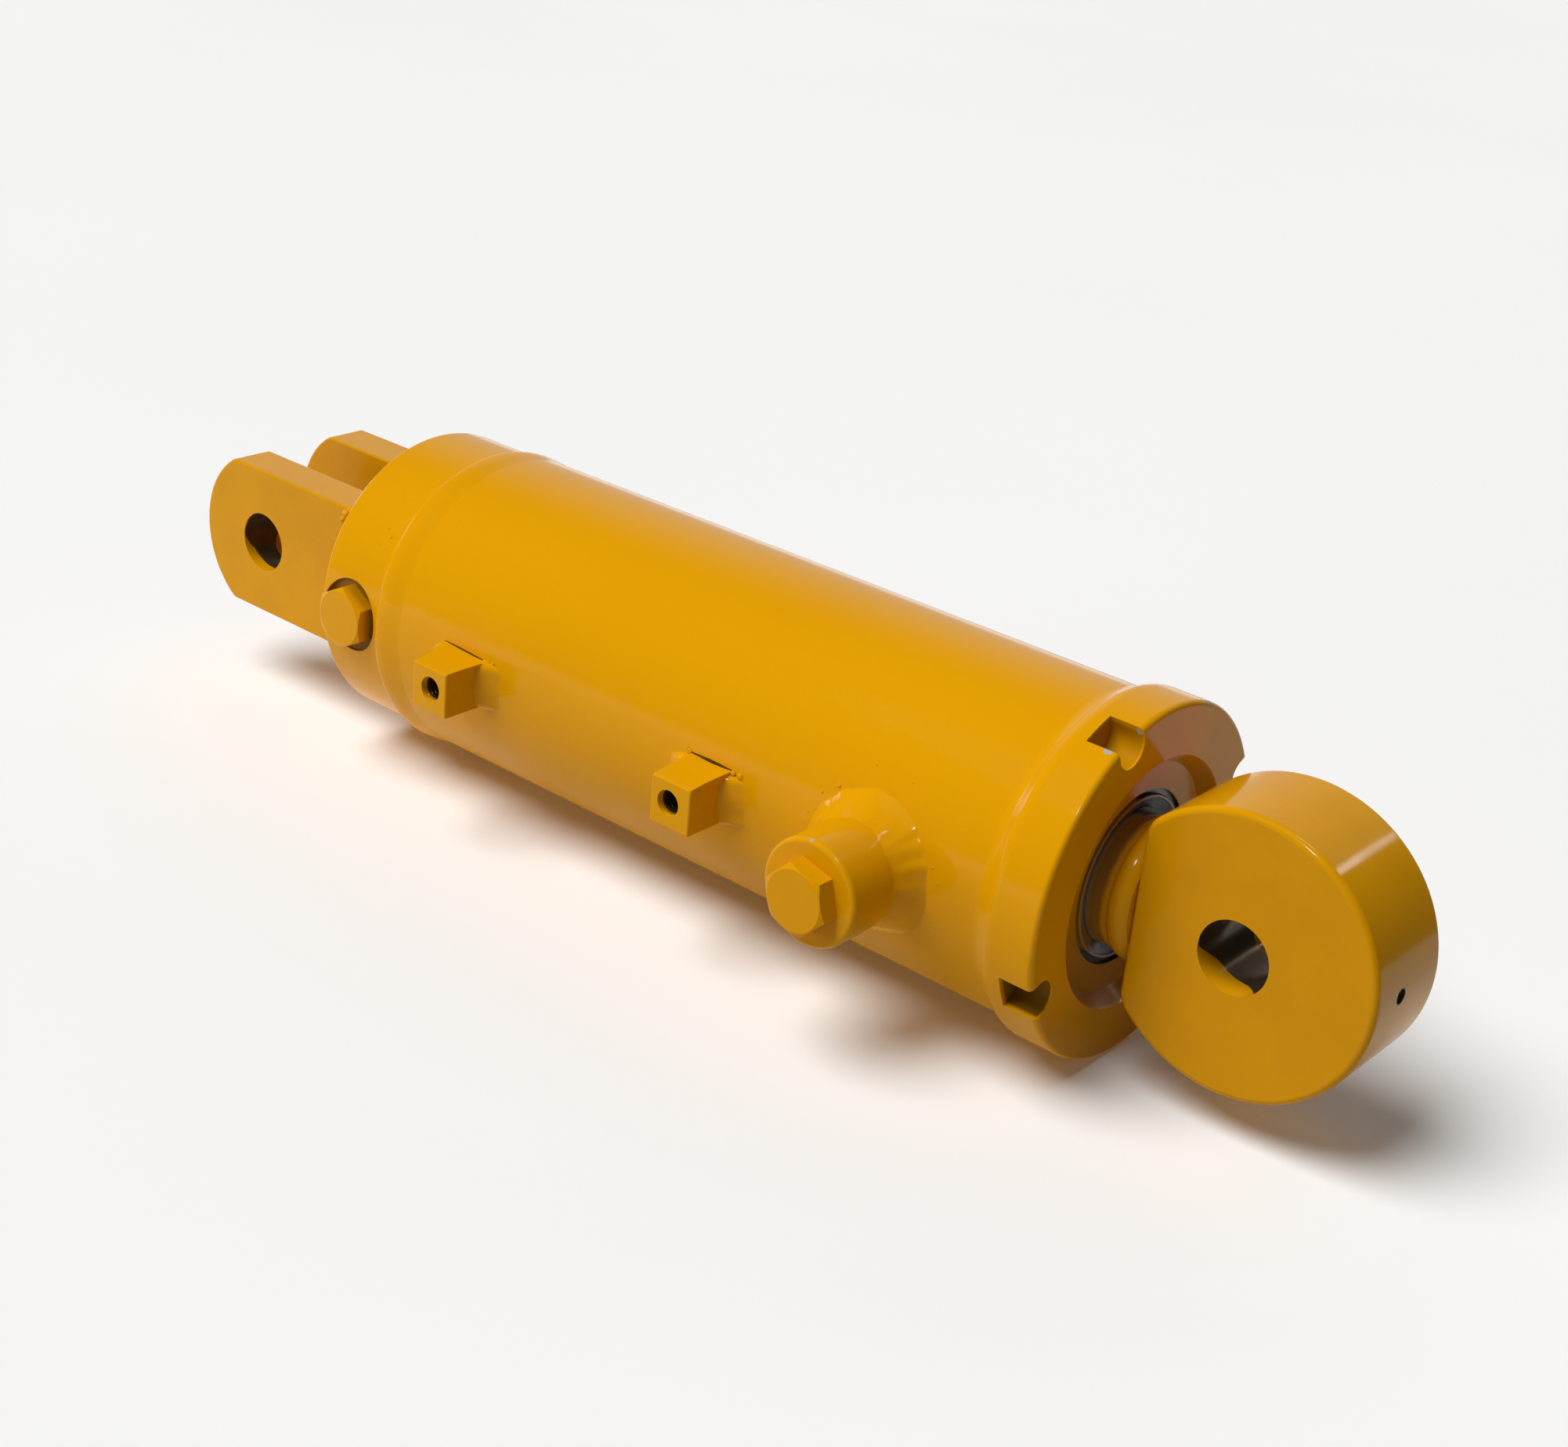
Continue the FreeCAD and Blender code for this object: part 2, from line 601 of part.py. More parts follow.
def make_piston_rod():
    """Chrome rod: threaded tail, piston spigot, full diameter and the weld bevel at the eye."""
    return revolve_x(
        (ROD_TAIL_X, 0),
        (ROD_TAIL_X, ROD_THREAD_R - 1),
        (ROD_TAIL_X + 1, ROD_THREAD_R),
        (PISTON_START_X, ROD_THREAD_R),
        (PISTON_START_X, PISTON_SPIGOT_R),
        (PISTON_END_X, PISTON_SPIGOT_R),
        (PISTON_END_X, ROD_R - 1),
        (PISTON_END_X + 1, ROD_R),
        (ROD_BEVEL_X, ROD_R),
        (EYE_FLAT_X, ROD_BEVEL_R),
        (EYE_FLAT_X, 0),
    )


def make_rod_eye():
    """Rod eye: thick disc with a flat towards the rod, a pin bore and a grease hole."""
    disc = Part.makeCylinder(EYE_R, 2 * EYE_HALF_W, Vector(EYE_X, -EYE_HALF_W, 0), AXIS_Y)
    behind = box(EYE_X - EYE_R - 1, EYE_FLAT_X, -EYE_HALF_W, EYE_HALF_W, -EYE_R, EYE_R)
    eye = disc.cut(behind)

    def is_flat_end(edge):
        """The two edges along Y where the flat meets the round."""
        bounds = edge.BoundBox
        return bounds.YLength > EYE_HALF_W and bounds.XLength < 1e-3 and abs(bounds.XMin - EYE_FLAT_X) < 0.01

    eye = round_edges(eye, EYE_CORNER_ROUND, is_flat_end)
    eye = round_edges(eye, EYE_RIM_ROUND, lambda edge: edge.BoundBox.YLength < 1e-3)
    eye = eye.cut(hole_y(EYE_BORE_R, EYE_X, 0, -EYE_HALF_W - 1, EYE_HALF_W + 1))
    surface_x = EYE_X + math.sqrt(EYE_R ** 2 - GREASE_HOLE_Z ** 2)
    thread_start = Vector(surface_x - GREASE_THREAD_DEPTH, GREASE_HOLE_Y, GREASE_HOLE_Z)
    eye = eye.cut(Part.makeCylinder(GREASE_HOLE_R, GREASE_THREAD_DEPTH + 2, thread_start, AXIS_X))
    drill_start = Vector(EYE_X, GREASE_HOLE_Y, GREASE_HOLE_Z)
    return eye.cut(Part.makeCylinder(GREASE_DRILL_R, EYE_R - GREASE_THREAD_DEPTH, drill_start, AXIS_X))


def make_rod_eye_weld():
    """Weld ring between the rod's bevel and the eye."""
    middle_x = (EYE_WELD_START_X + EYE_FLAT_X) / 2
    return revolve_x(
        (EYE_WELD_START_X, ROD_R),
        (middle_x, EYE_WELD_CROWN_R, EYE_FLAT_X, EYE_WELD_TOE_R),
        (EYE_FLAT_X, ROD_BEVEL_R),
        (ROD_BEVEL_X, ROD_R),
    )


# ---- Build every node ---------------------------------------------------------------------------
def build():
    """Every sub-part of the cylinder, by node name."""
    base_port = (BASE_PORT_X, BASE_PORT_Z, BASE_PORT_FACE_Y)
    rod_port = (ROD_PORT_X, ROD_PORT_Z, ROD_PORT_FACE_Y)
    nodes = {
        "cylinder_tube": make_cylinder_tube(),
        "base_cap": make_base_cap(),
        "base_cap_weld": make_base_cap_weld(),
        "head_gland": make_head_gland(),
        "head_o_ring": make_head_o_ring(),
        "head_backup_ring": make_head_backup_ring(),
        "head_inner_wear_ring": make_head_wear_ring(INNER_WEAR_GROOVE),
        "head_outer_wear_ring": make_head_wear_ring(OUTER_WEAR_GROOVE),
        "buffer_seal": make_buffer_seal(),
        "rod_seal": make_rod_seal(),
        "rod_wiper": make_rod_wiper(),
        "rod_port_boss": make_rod_port_boss(),
        "rod_port_weld": make_rod_port_weld(),
        "base_port_plug": make_port_plug(*base_port, BASE_PLUG_TURN),
        "rod_port_plug": make_port_plug(*rod_port, ROD_PLUG_TURN),
        "base_plug_o_ring": make_plug_o_ring(*base_port),
        "rod_plug_o_ring": make_plug_o_ring(*rod_port),
        "piston_seal": make_piston_seal(),
        "piston_seal_expander": make_piston_seal_expander(),
        "piston_wear_rings": make_piston_wear_rings(),
        "piston": make_piston(),
        "piston_o_ring": torus_x(PISTON_SPIGOT_R + PISTON_O_RING_D / 2, PISTON_O_RING_D, PISTON_O_RING_X),
        "piston_nut": make_piston_nut(),
        "piston_rod": make_piston_rod(),
        "rod_eye": make_rod_eye(),
        "rod_eye_weld": make_rod_eye_weld(),
    }
    for name, side in (("left", 1), ("right", -1)):
        nodes["clevis_ear_" + name] = make_clevis_ear(side)
        nodes["clevis_weld_" + name] = make_clevis_weld(side)
    for name, (centre_x, tap_x) in BLOCKS.items():
        nodes[name + "_bracket_block"] = make_bracket_block(centre_x, tap_x)
        nodes[name + "_bracket_weld"] = make_bracket_weld(centre_x)
    return nodes


os.makedirs("parts", exist_ok=True)
for node_name, node_shape in build().items():
    node_shape.exportStep("parts/" + node_name + ".step")
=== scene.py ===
"""Hydraulic cylinder: paint, metals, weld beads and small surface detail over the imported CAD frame.

Metres, in the CAD's frame: +X runs from the clevis to the rod eye, the ports face -Y and +Z is up.
"""
import math
import random

import bmesh
import bpy
from mathutils import Matrix, Vector, noise


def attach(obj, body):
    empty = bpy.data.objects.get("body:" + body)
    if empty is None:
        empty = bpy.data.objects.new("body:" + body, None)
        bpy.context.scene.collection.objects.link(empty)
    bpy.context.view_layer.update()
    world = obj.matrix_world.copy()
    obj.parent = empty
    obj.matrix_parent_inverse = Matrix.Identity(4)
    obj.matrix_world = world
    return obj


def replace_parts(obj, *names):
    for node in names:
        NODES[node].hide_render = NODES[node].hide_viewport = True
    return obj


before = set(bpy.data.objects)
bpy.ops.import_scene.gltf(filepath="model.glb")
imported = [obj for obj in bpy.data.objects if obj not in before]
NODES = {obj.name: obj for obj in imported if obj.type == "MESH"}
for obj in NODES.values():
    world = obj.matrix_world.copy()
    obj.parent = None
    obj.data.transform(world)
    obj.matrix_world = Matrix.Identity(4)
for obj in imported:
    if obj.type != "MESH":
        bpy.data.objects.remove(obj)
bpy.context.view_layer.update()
MM = 0.001

# ---- Dimensions shared with the CAD source -------------------------------------------------------
TUBE_R = 63.5 * MM
CAP_R = 62.5 * MM
CAP_FACE_X = 71.25 * MM
CAP_WELD_TOE_X = 105.1 * MM
TUBE_WELD_TOE_X = 123.6 * MM
CAP_WELD_CROWN = 2.2 * MM
EAR_IN = 16.8 * MM
EAR_OUT = 36.8 * MM
EAR_HALF_HEIGHT = 32.8 * MM
CLEVIS_BORE_R = 13.0 * MM
BASE_PORT_X = 88.0 * MM
BASE_PORT_Z = 0.5 * MM
BASE_PORT_FACE_Y = -59.8 * MM
SPOTFACE_R = 15.5 * MM
BOSS_X = 364.4 * MM
BOSS_Z = -2.0 * MM
BOSS_R = 20.2 * MM
BOSS_FACE_Y = -95.0 * MM
BLOCK_X = (160.5 * MM, 289.2 * MM)
BLOCK_Z = -1.8 * MM
BLOCK_HALF = 9.5 * MM
BLOCK_FACE_Y = -83.2 * MM
TAP_X = (161.2 * MM, 288.2 * MM)
TAP_Z = -1.2 * MM
TAP_R = 5.1 * MM
EYE_X = 488.1 * MM
EYE_R = 52.6 * MM
EYE_HALF_W = 22.3 * MM
EYE_BORE_R = 13.6 * MM
GREASE_Y = -5.0 * MM
GREASE_Z = 2.5 * MM
GREASE_R = 2.75 * MM
HEAD_FACE_X = 439.1 * MM
HEAD_BACK_X = 409.6 * MM
SHOULDER_END_X = 422.0 * MM
FLANGE_R = 67.5 * MM
RECESS_FLOOR_X = 432.9 * MM
RECESS_FLOOR_R = 43.5 * MM
NOTCH_BOTTOM_R = 56.2 * MM
WIPER_RIB_R = 30.2 * MM

# ---- Small details -------------------------------------------------------------------------------
# Paint chips on the head: degrees from -Y towards +Z, depth under the rim, distance behind the
# face and reach
CHIPS = (
    (61.5, 1.0 * MM, 4.5 * MM, 2.2 * MM),
    (61.0, 4.0 * MM, 9.5 * MM, 2.6 * MM),
    (60.5, 9.0 * MM, 12.0 * MM, 2.4 * MM),
    (75.0, 2.0 * MM, 2.0 * MM, 1.6 * MM),
    (112.0, 0.5 * MM, 1.0 * MM, 2.0 * MM),
)

# Radius at which the beads turn the corners of the ears
BEAD_CORNER_R = 2.4 * MM

# Crevice above each block's ramp, drawn as a dark strip that is its painted shadow: its ends in x, its
# height at each end and its width
CREVICES = {
    "base": (147.0 * MM, 171.2 * MM, 9.4 * MM, 8.4 * MM, 0.7 * MM),
    "rod": (280.0 * MM, 300.0 * MM, 10.0 * MM, 10.0 * MM, 1.2 * MM),
}

# Larger drops of spatter: x, y, z and size
SPATTER = tuple((x * MM, y * MM, z * MM, size * MM) for x, y, z, size in (
    (96.8, -49.2, 38.5, 0.55),
    (99.9, -51.0, 36.1, 0.80),
    (99.4, -53.8, 31.8, 0.40),
    (102.0, -56.3, 27.1, 0.45),
    (95.9, -53.6, 32.1, 0.35),
    (340.5, -61.2, 16.8, 0.70),
    (346.6, -59.9, 21.1, 0.90),
    (392.0, -62.9, 8.4, 0.60),
    (300.8, -63.2, 9.3, 1.20),
    (304.0, -62.8, 9.2, 1.50),
    (279.0, -62.8, 10.2, 1.10),
    (277.6, -62.6, 10.9, 0.80),
    (172.0, -63.2, 8.4, 0.90),
    (174.8, -62.9, 8.8, 0.80),
    (57.5, -36.6, 32.4, 1.30),
    (55.2, -36.9, 30.4, 1.60),
    (53.2, -36.9, 27.2, 1.20),
    (60.5, -36.0, 32.8, 1.40),
    (336.4, -63.0, 8.0, 0.50),
))

# ---- Colours, linear -----------------------------------------------------------------------------
PAINT = (0.735, 0.328, 0.0008)
PAINT_THIN = (0.720, 0.316, 0.0008)
PAINT_THICK = (0.748, 0.338, 0.0010)
PRIMER_GREY = (0.42, 0.40, 0.36)
# The steel browns are partly a painted reflection of the yellow paint round the bores.
STEEL = (0.110, 0.068, 0.030)
STEEL_DARK = (0.058, 0.036, 0.017)
MIST = (0.36, 0.18, 0.020)
# Dark brown laid over the enamel as painted shade
PAINTED_SHADE_BROWN = (0.16, 0.07, 0.003)


# ---- Node helpers --------------------------------------------------------------------------------
class Nodes:
    """Small wrapper that adds and links shader nodes in one node tree."""

    def __init__(self, tree, coordinates="Object"):
        self.tree = tree
        self.place = tree.nodes.new("ShaderNodeTexCoord").outputs[coordinates]

    def link(self, source, target):
        """Links two sockets."""
        self.tree.links.new(source, target)

    def put(self, target, value):
        """Links a socket, or sets a constant."""
        if isinstance(value, bpy.types.NodeSocket):
            self.link(value, target)
        else:
            target.default_value = value

    def stretched(self, scale):
        """Object coordinates scaled along each axis."""
        node = self.tree.nodes.new("ShaderNodeMapping")
        self.link(self.place, node.inputs["Vector"])
        node.inputs["Scale"].default_value = scale
        return node.outputs["Vector"]

    def noise(self, scale, detail=3.0, rough=0.5, vector=None):
        """Noise factor, scale in cells per metre."""
        node = self.tree.nodes.new("ShaderNodeTexNoise")
        self.link(vector or self.place, node.inputs["Vector"])
        node.inputs["Scale"].default_value = scale
        node.inputs["Detail"].default_value = detail
        node.inputs["Roughness"].default_value = rough
        return node.outputs["Fac"]

    def maths(self, operation, first, second=0.0):
        """One math node."""
        node = self.tree.nodes.new("ShaderNodeMath")
        node.operation = operation
        self.put(node.inputs[0], first)
        self.put(node.inputs[1], second)
        return node.outputs[0]

    def product(self, first, *others):
        """Product of sockets and numbers."""
        for other in others:
            first = self.maths("MULTIPLY", first, other)
        return first

    def apart(self, value, centre):
        """Distance of a value from a centre."""
        return self.maths("ABSOLUTE", self.maths("SUBTRACT", value, centre))

    def ranged(self, value, low, high, out_low=0.0, out_high=1.0):
        """Smooth step from low to high, mapped to the output range."""
        node = self.tree.nodes.new("ShaderNodeMapRange")
        node.interpolation_type = "SMOOTHSTEP"
        self.link(value, node.inputs["Value"])
        for socket, number in zip(node.inputs[1:5], (low, high, out_low, out_high)):
            socket.default_value = number
        return node.outputs["Result"]

    def mixed(self, factor, first, second):
        """Colour mix. first and second are colours or sockets."""
        node = self.tree.nodes.new("ShaderNodeMix")
        node.data_type = "RGBA"
        self.put(node.inputs["Factor"], factor)
        for socket, value in ((node.inputs[6], first), (node.inputs[7], second)):
            self.put(socket, value if isinstance(value, bpy.types.NodeSocket) else (*value, 1.0))
        return node.outputs[2]

    def bump(self, height, distance, strength=1.0, base=None):
        """Bump from a height socket. distance is the relief in metres."""
        node = self.tree.nodes.new("ShaderNodeBump")
        self.link(height, node.inputs["Height"])
        node.inputs["Distance"].default_value = distance
        node.inputs["Strength"].default_value = strength
        if base is not None:
            self.link(base, node.inputs["Normal"])
        return node.outputs["Normal"]

    def axes(self):
        """The x, y and z sockets of the coordinates."""
        node = self.tree.nodes.new("ShaderNodeSeparateXYZ")
        self.link(self.place, node.inputs["Vector"])
        return node.outputs[0], node.outputs[1], node.outputs[2]

    def radius(self, first, second, centre=(0.0, 0.0)):
        """Distance from an axis, from two coordinate sockets."""
        a = self.maths("SUBTRACT", first, centre[0])
        b = self.maths("SUBTRACT", second, centre[1])
        squares = self.maths("ADD", self.product(a, a), self.product(b, b))
        return self.maths("SQRT", squares)

    def near(self, point, reach):
        """1 at a point, falling to 0 at reach, with a ragged outline."""
        node = self.tree.nodes.new("ShaderNodeVectorMath")
        node.operation = "DISTANCE"
        self.link(self.place, node.inputs[0])
        node.inputs[1].default_value = point
        ragged = self.maths("SUBTRACT", self.noise(900.0, 4.0, 0.7), 0.5)
        distance = self.maths("ADD", node.outputs["Value"], self.product(ragged, 1.6 * reach))
        return self.ranged(distance, reach * 0.95, reach * 0.80)


class Surface(Nodes):
    """The nodes of one new material, which ends in a Principled shader."""

    def __init__(self, name):
        self.material = bpy.data.materials.new(name)
        self.material.use_nodes = True
        tree = self.material.node_tree
        tree.nodes.clear()
        super().__init__(tree)
        output = tree.nodes.new("ShaderNodeOutputMaterial")
        self.shader = tree.nodes.new("ShaderNodeBsdfPrincipled")
        self.link(self.shader.outputs["BSDF"], output.inputs["Surface"])


# ---- Materials -----------------------------------------------------------------------------------
def paint_colour(nodes):
    """Yellow enamel: slow drift in film thickness, with faint mottling."""
    drift = nodes.ranged(nodes.noise(9.0, 2.0), 0.35, 0.65)
    colour = nodes.mixed(drift, PAINT_THIN, PAINT_THICK)
    mottle = nodes.ranged(nodes.noise(420.0, 2.0), 0.30, 0.70, 0.30, 0.70)
    return nodes.mixed(mottle, colour, PAINT)


def paint_relief(nodes, base=None):
    """Orange peel of sprayed enamel, over slow waves in the film."""
    waves = nodes.bump(nodes.noise(55.0, 2.0), 0.00008, 0.5, base)
    return nodes.bump(nodes.noise(520.0, 2.0, 0.4), 0.000020, 0.6, waves)


def machined_steel(nodes):
    """Colour of bare turned steel with a film of oil; its warm brown is partly light rust and partly a
    painted reflection of the yellow paint round it.
    """
    film = nodes.ranged(nodes.noise(60.0, 3.0, 0.5), 0.20, 0.80)
    return nodes.mixed(film, STEEL, STEEL_DARK)


def finish_paint(nodes, bare=None, chips=None, marks=None, painted_shade=None):
    """Joins paint with bare steel where bare is 1, grey primer where chips is 1 and dark brown painted
    shade where the shade mask is 1. marks are tool marks that show through the paint."""
    shader = nodes.shader
    colour = paint_colour(nodes)
    gloss = nodes.ranged(nodes.noise(38.0, 3.0), 0.30, 0.70, 0.08, 0.13)
    if painted_shade is not None:
        colour = nodes.mixed(painted_shade, colour, PAINTED_SHADE_BROWN)
        gloss = nodes.maths("ADD", gloss, nodes.product(painted_shade, 0.4))
    if chips is not None:
        colour = nodes.mixed(chips, colour, PRIMER_GREY)
        gloss = nodes.maths("ADD", gloss, nodes.product(chips, 0.3))
    if bare is not None:
        colour = nodes.mixed(bare, colour, machined_steel(nodes))
        gloss = nodes.maths("ADD", gloss, nodes.product(bare, 0.10))
        nodes.link(nodes.product(bare, 0.5), shader.inputs["Metallic"])
    nodes.link(colour, shader.inputs["Base Color"])
    nodes.link(gloss, shader.inputs["Roughness"])
    grooves = None if marks is None else nodes.bump(marks, 0.00010, 0.8)
    nodes.link(paint_relief(nodes, grooves), shader.inputs["Normal"])
    shader.inputs["Specular IOR Level"].default_value = 0.11
    shader.inputs["Coat Weight"].default_value = 0.03
    shader.inputs["Coat Roughness"].default_value = 0.06
    return nodes.material


def paint_plain():
    """Enamel all over, for welds and other small pieces."""
    return finish_paint(Surface("paint_enamel"))


def shade_patches(nodes, low, high):
    """Mask of painted shade: darker enamel in large soft patches that dims a whole part."""
    return nodes.ranged(nodes.noise(30.0, 3.0), 0.30, 0.70, low, high)


def paint_base_plug():
    """Enamel on the base port's plug, darker towards its seat: painted shade."""
    nodes = Surface("paint_base_plug")
    _, y, _ = nodes.axes()
    shade_near_seat = nodes.ranged(y, BASE_PORT_FACE_Y - 7.0 * MM, BASE_PORT_FACE_Y - 2.0 * MM, 0.0, 0.45)
    return finish_paint(nodes, painted_shade=shade_near_seat)


def paint_tube():
    """Enamel outside, honed steel in the bore."""
    nodes = Surface("paint_tube")
    _, y, z = nodes.axes()
    bare = nodes.ranged(nodes.radius(y, z), TUBE_R - 1.0 * MM, TUBE_R - 1.6 * MM)
    return finish_paint(nodes, bare)


def paint_cap():
    """Enamel outside, painted shade in the spotface round the plug, machined steel inside the base cap.
    """
    nodes = Surface("paint_cap")
    x, y, z = nodes.axes()
    inner = nodes.ranged(nodes.radius(y, z), CAP_R - 9.0 * MM, CAP_R - 9.6 * MM)
    deep = nodes.ranged(x, CAP_FACE_X + 6.0 * MM, CAP_FACE_X + 6.6 * MM)
    wall = nodes.ranged(y, BASE_PORT_FACE_Y + 0.5 * MM, BASE_PORT_FACE_Y + 1.1 * MM)
    # Painted shade darkens the spotface round the plug on the ports' side.
    from_port = nodes.radius(x, z, (BASE_PORT_X, BASE_PORT_Z))
    spotface = nodes.ranged(from_port, SPOTFACE_R + 0.2 * MM, SPOTFACE_R - 0.1 * MM, 0.0, 0.8)
    ports_side = nodes.ranged(y, -40.0 * MM, -45.0 * MM)
    bare = nodes.product(inner, deep, wall)
    return finish_paint(nodes, bare, painted_shade=nodes.product(spotface, ports_side))


def bare_bore(nodes, centre, radius, middle, half):
    """Mask of the bare steel in a pin bore along Y. Paint reaches furthest in low down, on the -X
    side."""
    x, y, z = nodes.axes()
    wall = nodes.ranged(nodes.radius(x, z, centre), radius + 0.5 * MM, radius + 0.2 * MM)
    inset = nodes.maths("SUBTRACT", half, nodes.apart(y, middle))
    ragged = nodes.product(nodes.noise(260.0, 3.0), 1.4 * MM)
    sideways = nodes.product(nodes.maths("SUBTRACT", x, centre[0]), 0.33)
    height = nodes.maths("ADD", sideways, nodes.product(z, 0.94))
    reach = nodes.ranged(height, -0.35 * radius, -radius, 0.5 * MM, 0.50 * half)
    beyond = nodes.maths("SUBTRACT", nodes.maths("ADD", inset, ragged), reach)
    return nodes.product(wall, nodes.ranged(beyond, 0.5 * MM, 1.1 * MM))


def paint_ear(side):
    """Enamel on the clevis ear, with tool marks showing on its inner face. The pin bore is dark
    steel past a painted lip at each mouth."""
    nodes = Surface("paint_ear_left" if side > 0 else "paint_ear_right")
    _, y, _ = nodes.axes()
    middle = side * (EAR_IN + EAR_OUT) / 2
    bare = bare_bore(nodes, (0.0, 0.0), CLEVIS_BORE_R, middle, (EAR_OUT - EAR_IN) / 2)
    marks = nodes.noise(1.0, 2.0, 0.6, nodes.stretched((800.0, 30.0, 12.0)))
    inner_face = nodes.ranged(nodes.apart(y, 0.0), EAR_IN + 0.3 * MM, EAR_IN + 0.1 * MM)
    marks = nodes.product(marks, inner_face)
    # Darker enamel in large soft patches is painted shade that dims the ear.
    return finish_paint(nodes, bare, marks=marks, painted_shade=shade_patches(nodes, 0.05, 0.15))


def paint_block():
    """Enamel on the bracket blocks. Their tapped holes are bare past the first thread."""
    nodes = Surface("paint_block")
    x, y, z = nodes.axes()
    holes = []
    for tap_x in TAP_X:
        reach = nodes.radius(x, z, (tap_x, TAP_Z))
        holes.append(nodes.ranged(reach, TAP_R + 0.5 * MM, TAP_R + 0.15 * MM))
    deep = nodes.ranged(y, BLOCK_FACE_Y + 1.6 * MM, BLOCK_FACE_Y + 3.6 * MM)
    return finish_paint(nodes, nodes.product(nodes.maths("MAXIMUM", *holes), deep))


def paint_head():
    """Enamel on the flange, with chips at a notch and on the rim, and painted shade in the notches and
    the recess, heavier low down, and on the foot of the face. The gland is bare inside."""
    nodes = Surface("paint_head")
    x, y, z = nodes.axes()
    from_axis = nodes.radius(y, z)
    buried = nodes.ranged(x, HEAD_BACK_X - 0.1 * MM, HEAD_BACK_X - 0.6 * MM)
    core = nodes.ranged(from_axis, RECESS_FLOOR_R - 0.2 * MM, RECESS_FLOOR_R - 0.6 * MM)
    seats = nodes.ranged(x, RECESS_FLOOR_X - 0.4 * MM, RECESS_FLOOR_X - 0.7 * MM)
    bare = nodes.maths("MAXIMUM", buried, nodes.product(core, seats))
    spots = []
    for degrees, lift, back, reach in CHIPS:
        angle = math.radians(degrees)
        radius = FLANGE_R - lift
        point = (HEAD_FACE_X - back, -radius * math.cos(angle), radius * math.sin(angle))
        spots.append(nodes.near(point, reach))
    chips = spots[0]
    for spot in spots[1:]:
        chips = nodes.maths("MAXIMUM", chips, spot)
    # Painted shade: darker enamel in the notches and the recess, more of it low down, and on the foot
    # of the face.
    behind_face = nodes.ranged(x, HEAD_FACE_X - 0.5 * MM, HEAD_FACE_X - 1.0 * MM)
    ahead_of_shoulder = nodes.ranged(x, SHOULDER_END_X, SHOULDER_END_X + 1.0 * MM)
    under_rim = nodes.ranged(from_axis, FLANGE_R - 0.8 * MM, FLANGE_R - 2.5 * MM)
    low_down = nodes.ranged(z, 20.0 * MM, -20.0 * MM, 0.35, 0.85)
    in_notch = nodes.ranged(from_axis, NOTCH_BOTTOM_R - 4.2 * MM, NOTCH_BOTTOM_R - 2.2 * MM, 0.5, 1.0)
    shade_in_hollows = nodes.product(behind_face, ahead_of_shoulder, under_rim, low_down, in_notch)
    on_face = nodes.ranged(x, HEAD_FACE_X - 0.6 * MM, HEAD_FACE_X - 0.2 * MM)
    foot_of_face = nodes.product(on_face, nodes.ranged(z, -20.0 * MM, -50.0 * MM, 0.0, 0.26))
    return finish_paint(nodes, bare, chips, painted_shade=nodes.maths("MAXIMUM", shade_in_hollows, foot_of_face))


def paint_boss():
    """Enamel on the port boss, with a chip on the top of its rim."""
    nodes = Surface("paint_boss")
    chip = (BOSS_X - 1.3 * MM, BOSS_FACE_Y + 1.0 * MM, BOSS_Z + BOSS_R - 0.3 * MM)
    return finish_paint(nodes, chips=nodes.near(chip, 0.9 * MM))


def paint_eye():
    """Enamel on the rod eye. The pin bore and the grease hole are bare past their mouths."""
    nodes = Surface("paint_eye")
    x, y, z = nodes.axes()
    bore = bare_bore(nodes, (EYE_X, 0.0), EYE_BORE_R, 0.0, EYE_HALF_W)
    ragged = nodes.product(nodes.noise(900.0, 3.0), 1.2 * MM)
    reach = nodes.maths("ADD", nodes.radius(y, z, (GREASE_Y, GREASE_Z)), ragged)
    hole = nodes.ranged(reach, GREASE_R + 1.2 * MM, GREASE_R + 0.9 * MM)
    outer = nodes.ranged(x, EYE_X + EYE_R - 12.0 * MM, EYE_X + EYE_R - 11.0 * MM)
    bare = nodes.maths("MAXIMUM", bore, nodes.product(hole, outer))
    # Darker enamel in large soft patches is painted shade that dims the eye.
    return finish_paint(nodes, bare, painted_shade=shade_patches(nodes, 0.04, 0.13))


def overspray(nodes):
    """Mask of the paint mist that reached into the gland's mouth from the ports' side."""
    _, y, z = nodes.axes()
    drift = nodes.product(nodes.noise(140.0, 4.0, 0.6), 12.0 * MM)
    facing = nodes.ranged(nodes.maths("ADD", y, drift), 8.0 * MM, 0.0)
    height = nodes.maths("ADD", nodes.apart(z, 7.0 * MM), drift)
    return nodes.product(facing, nodes.ranged(height, 38.0 * MM, 31.0 * MM))


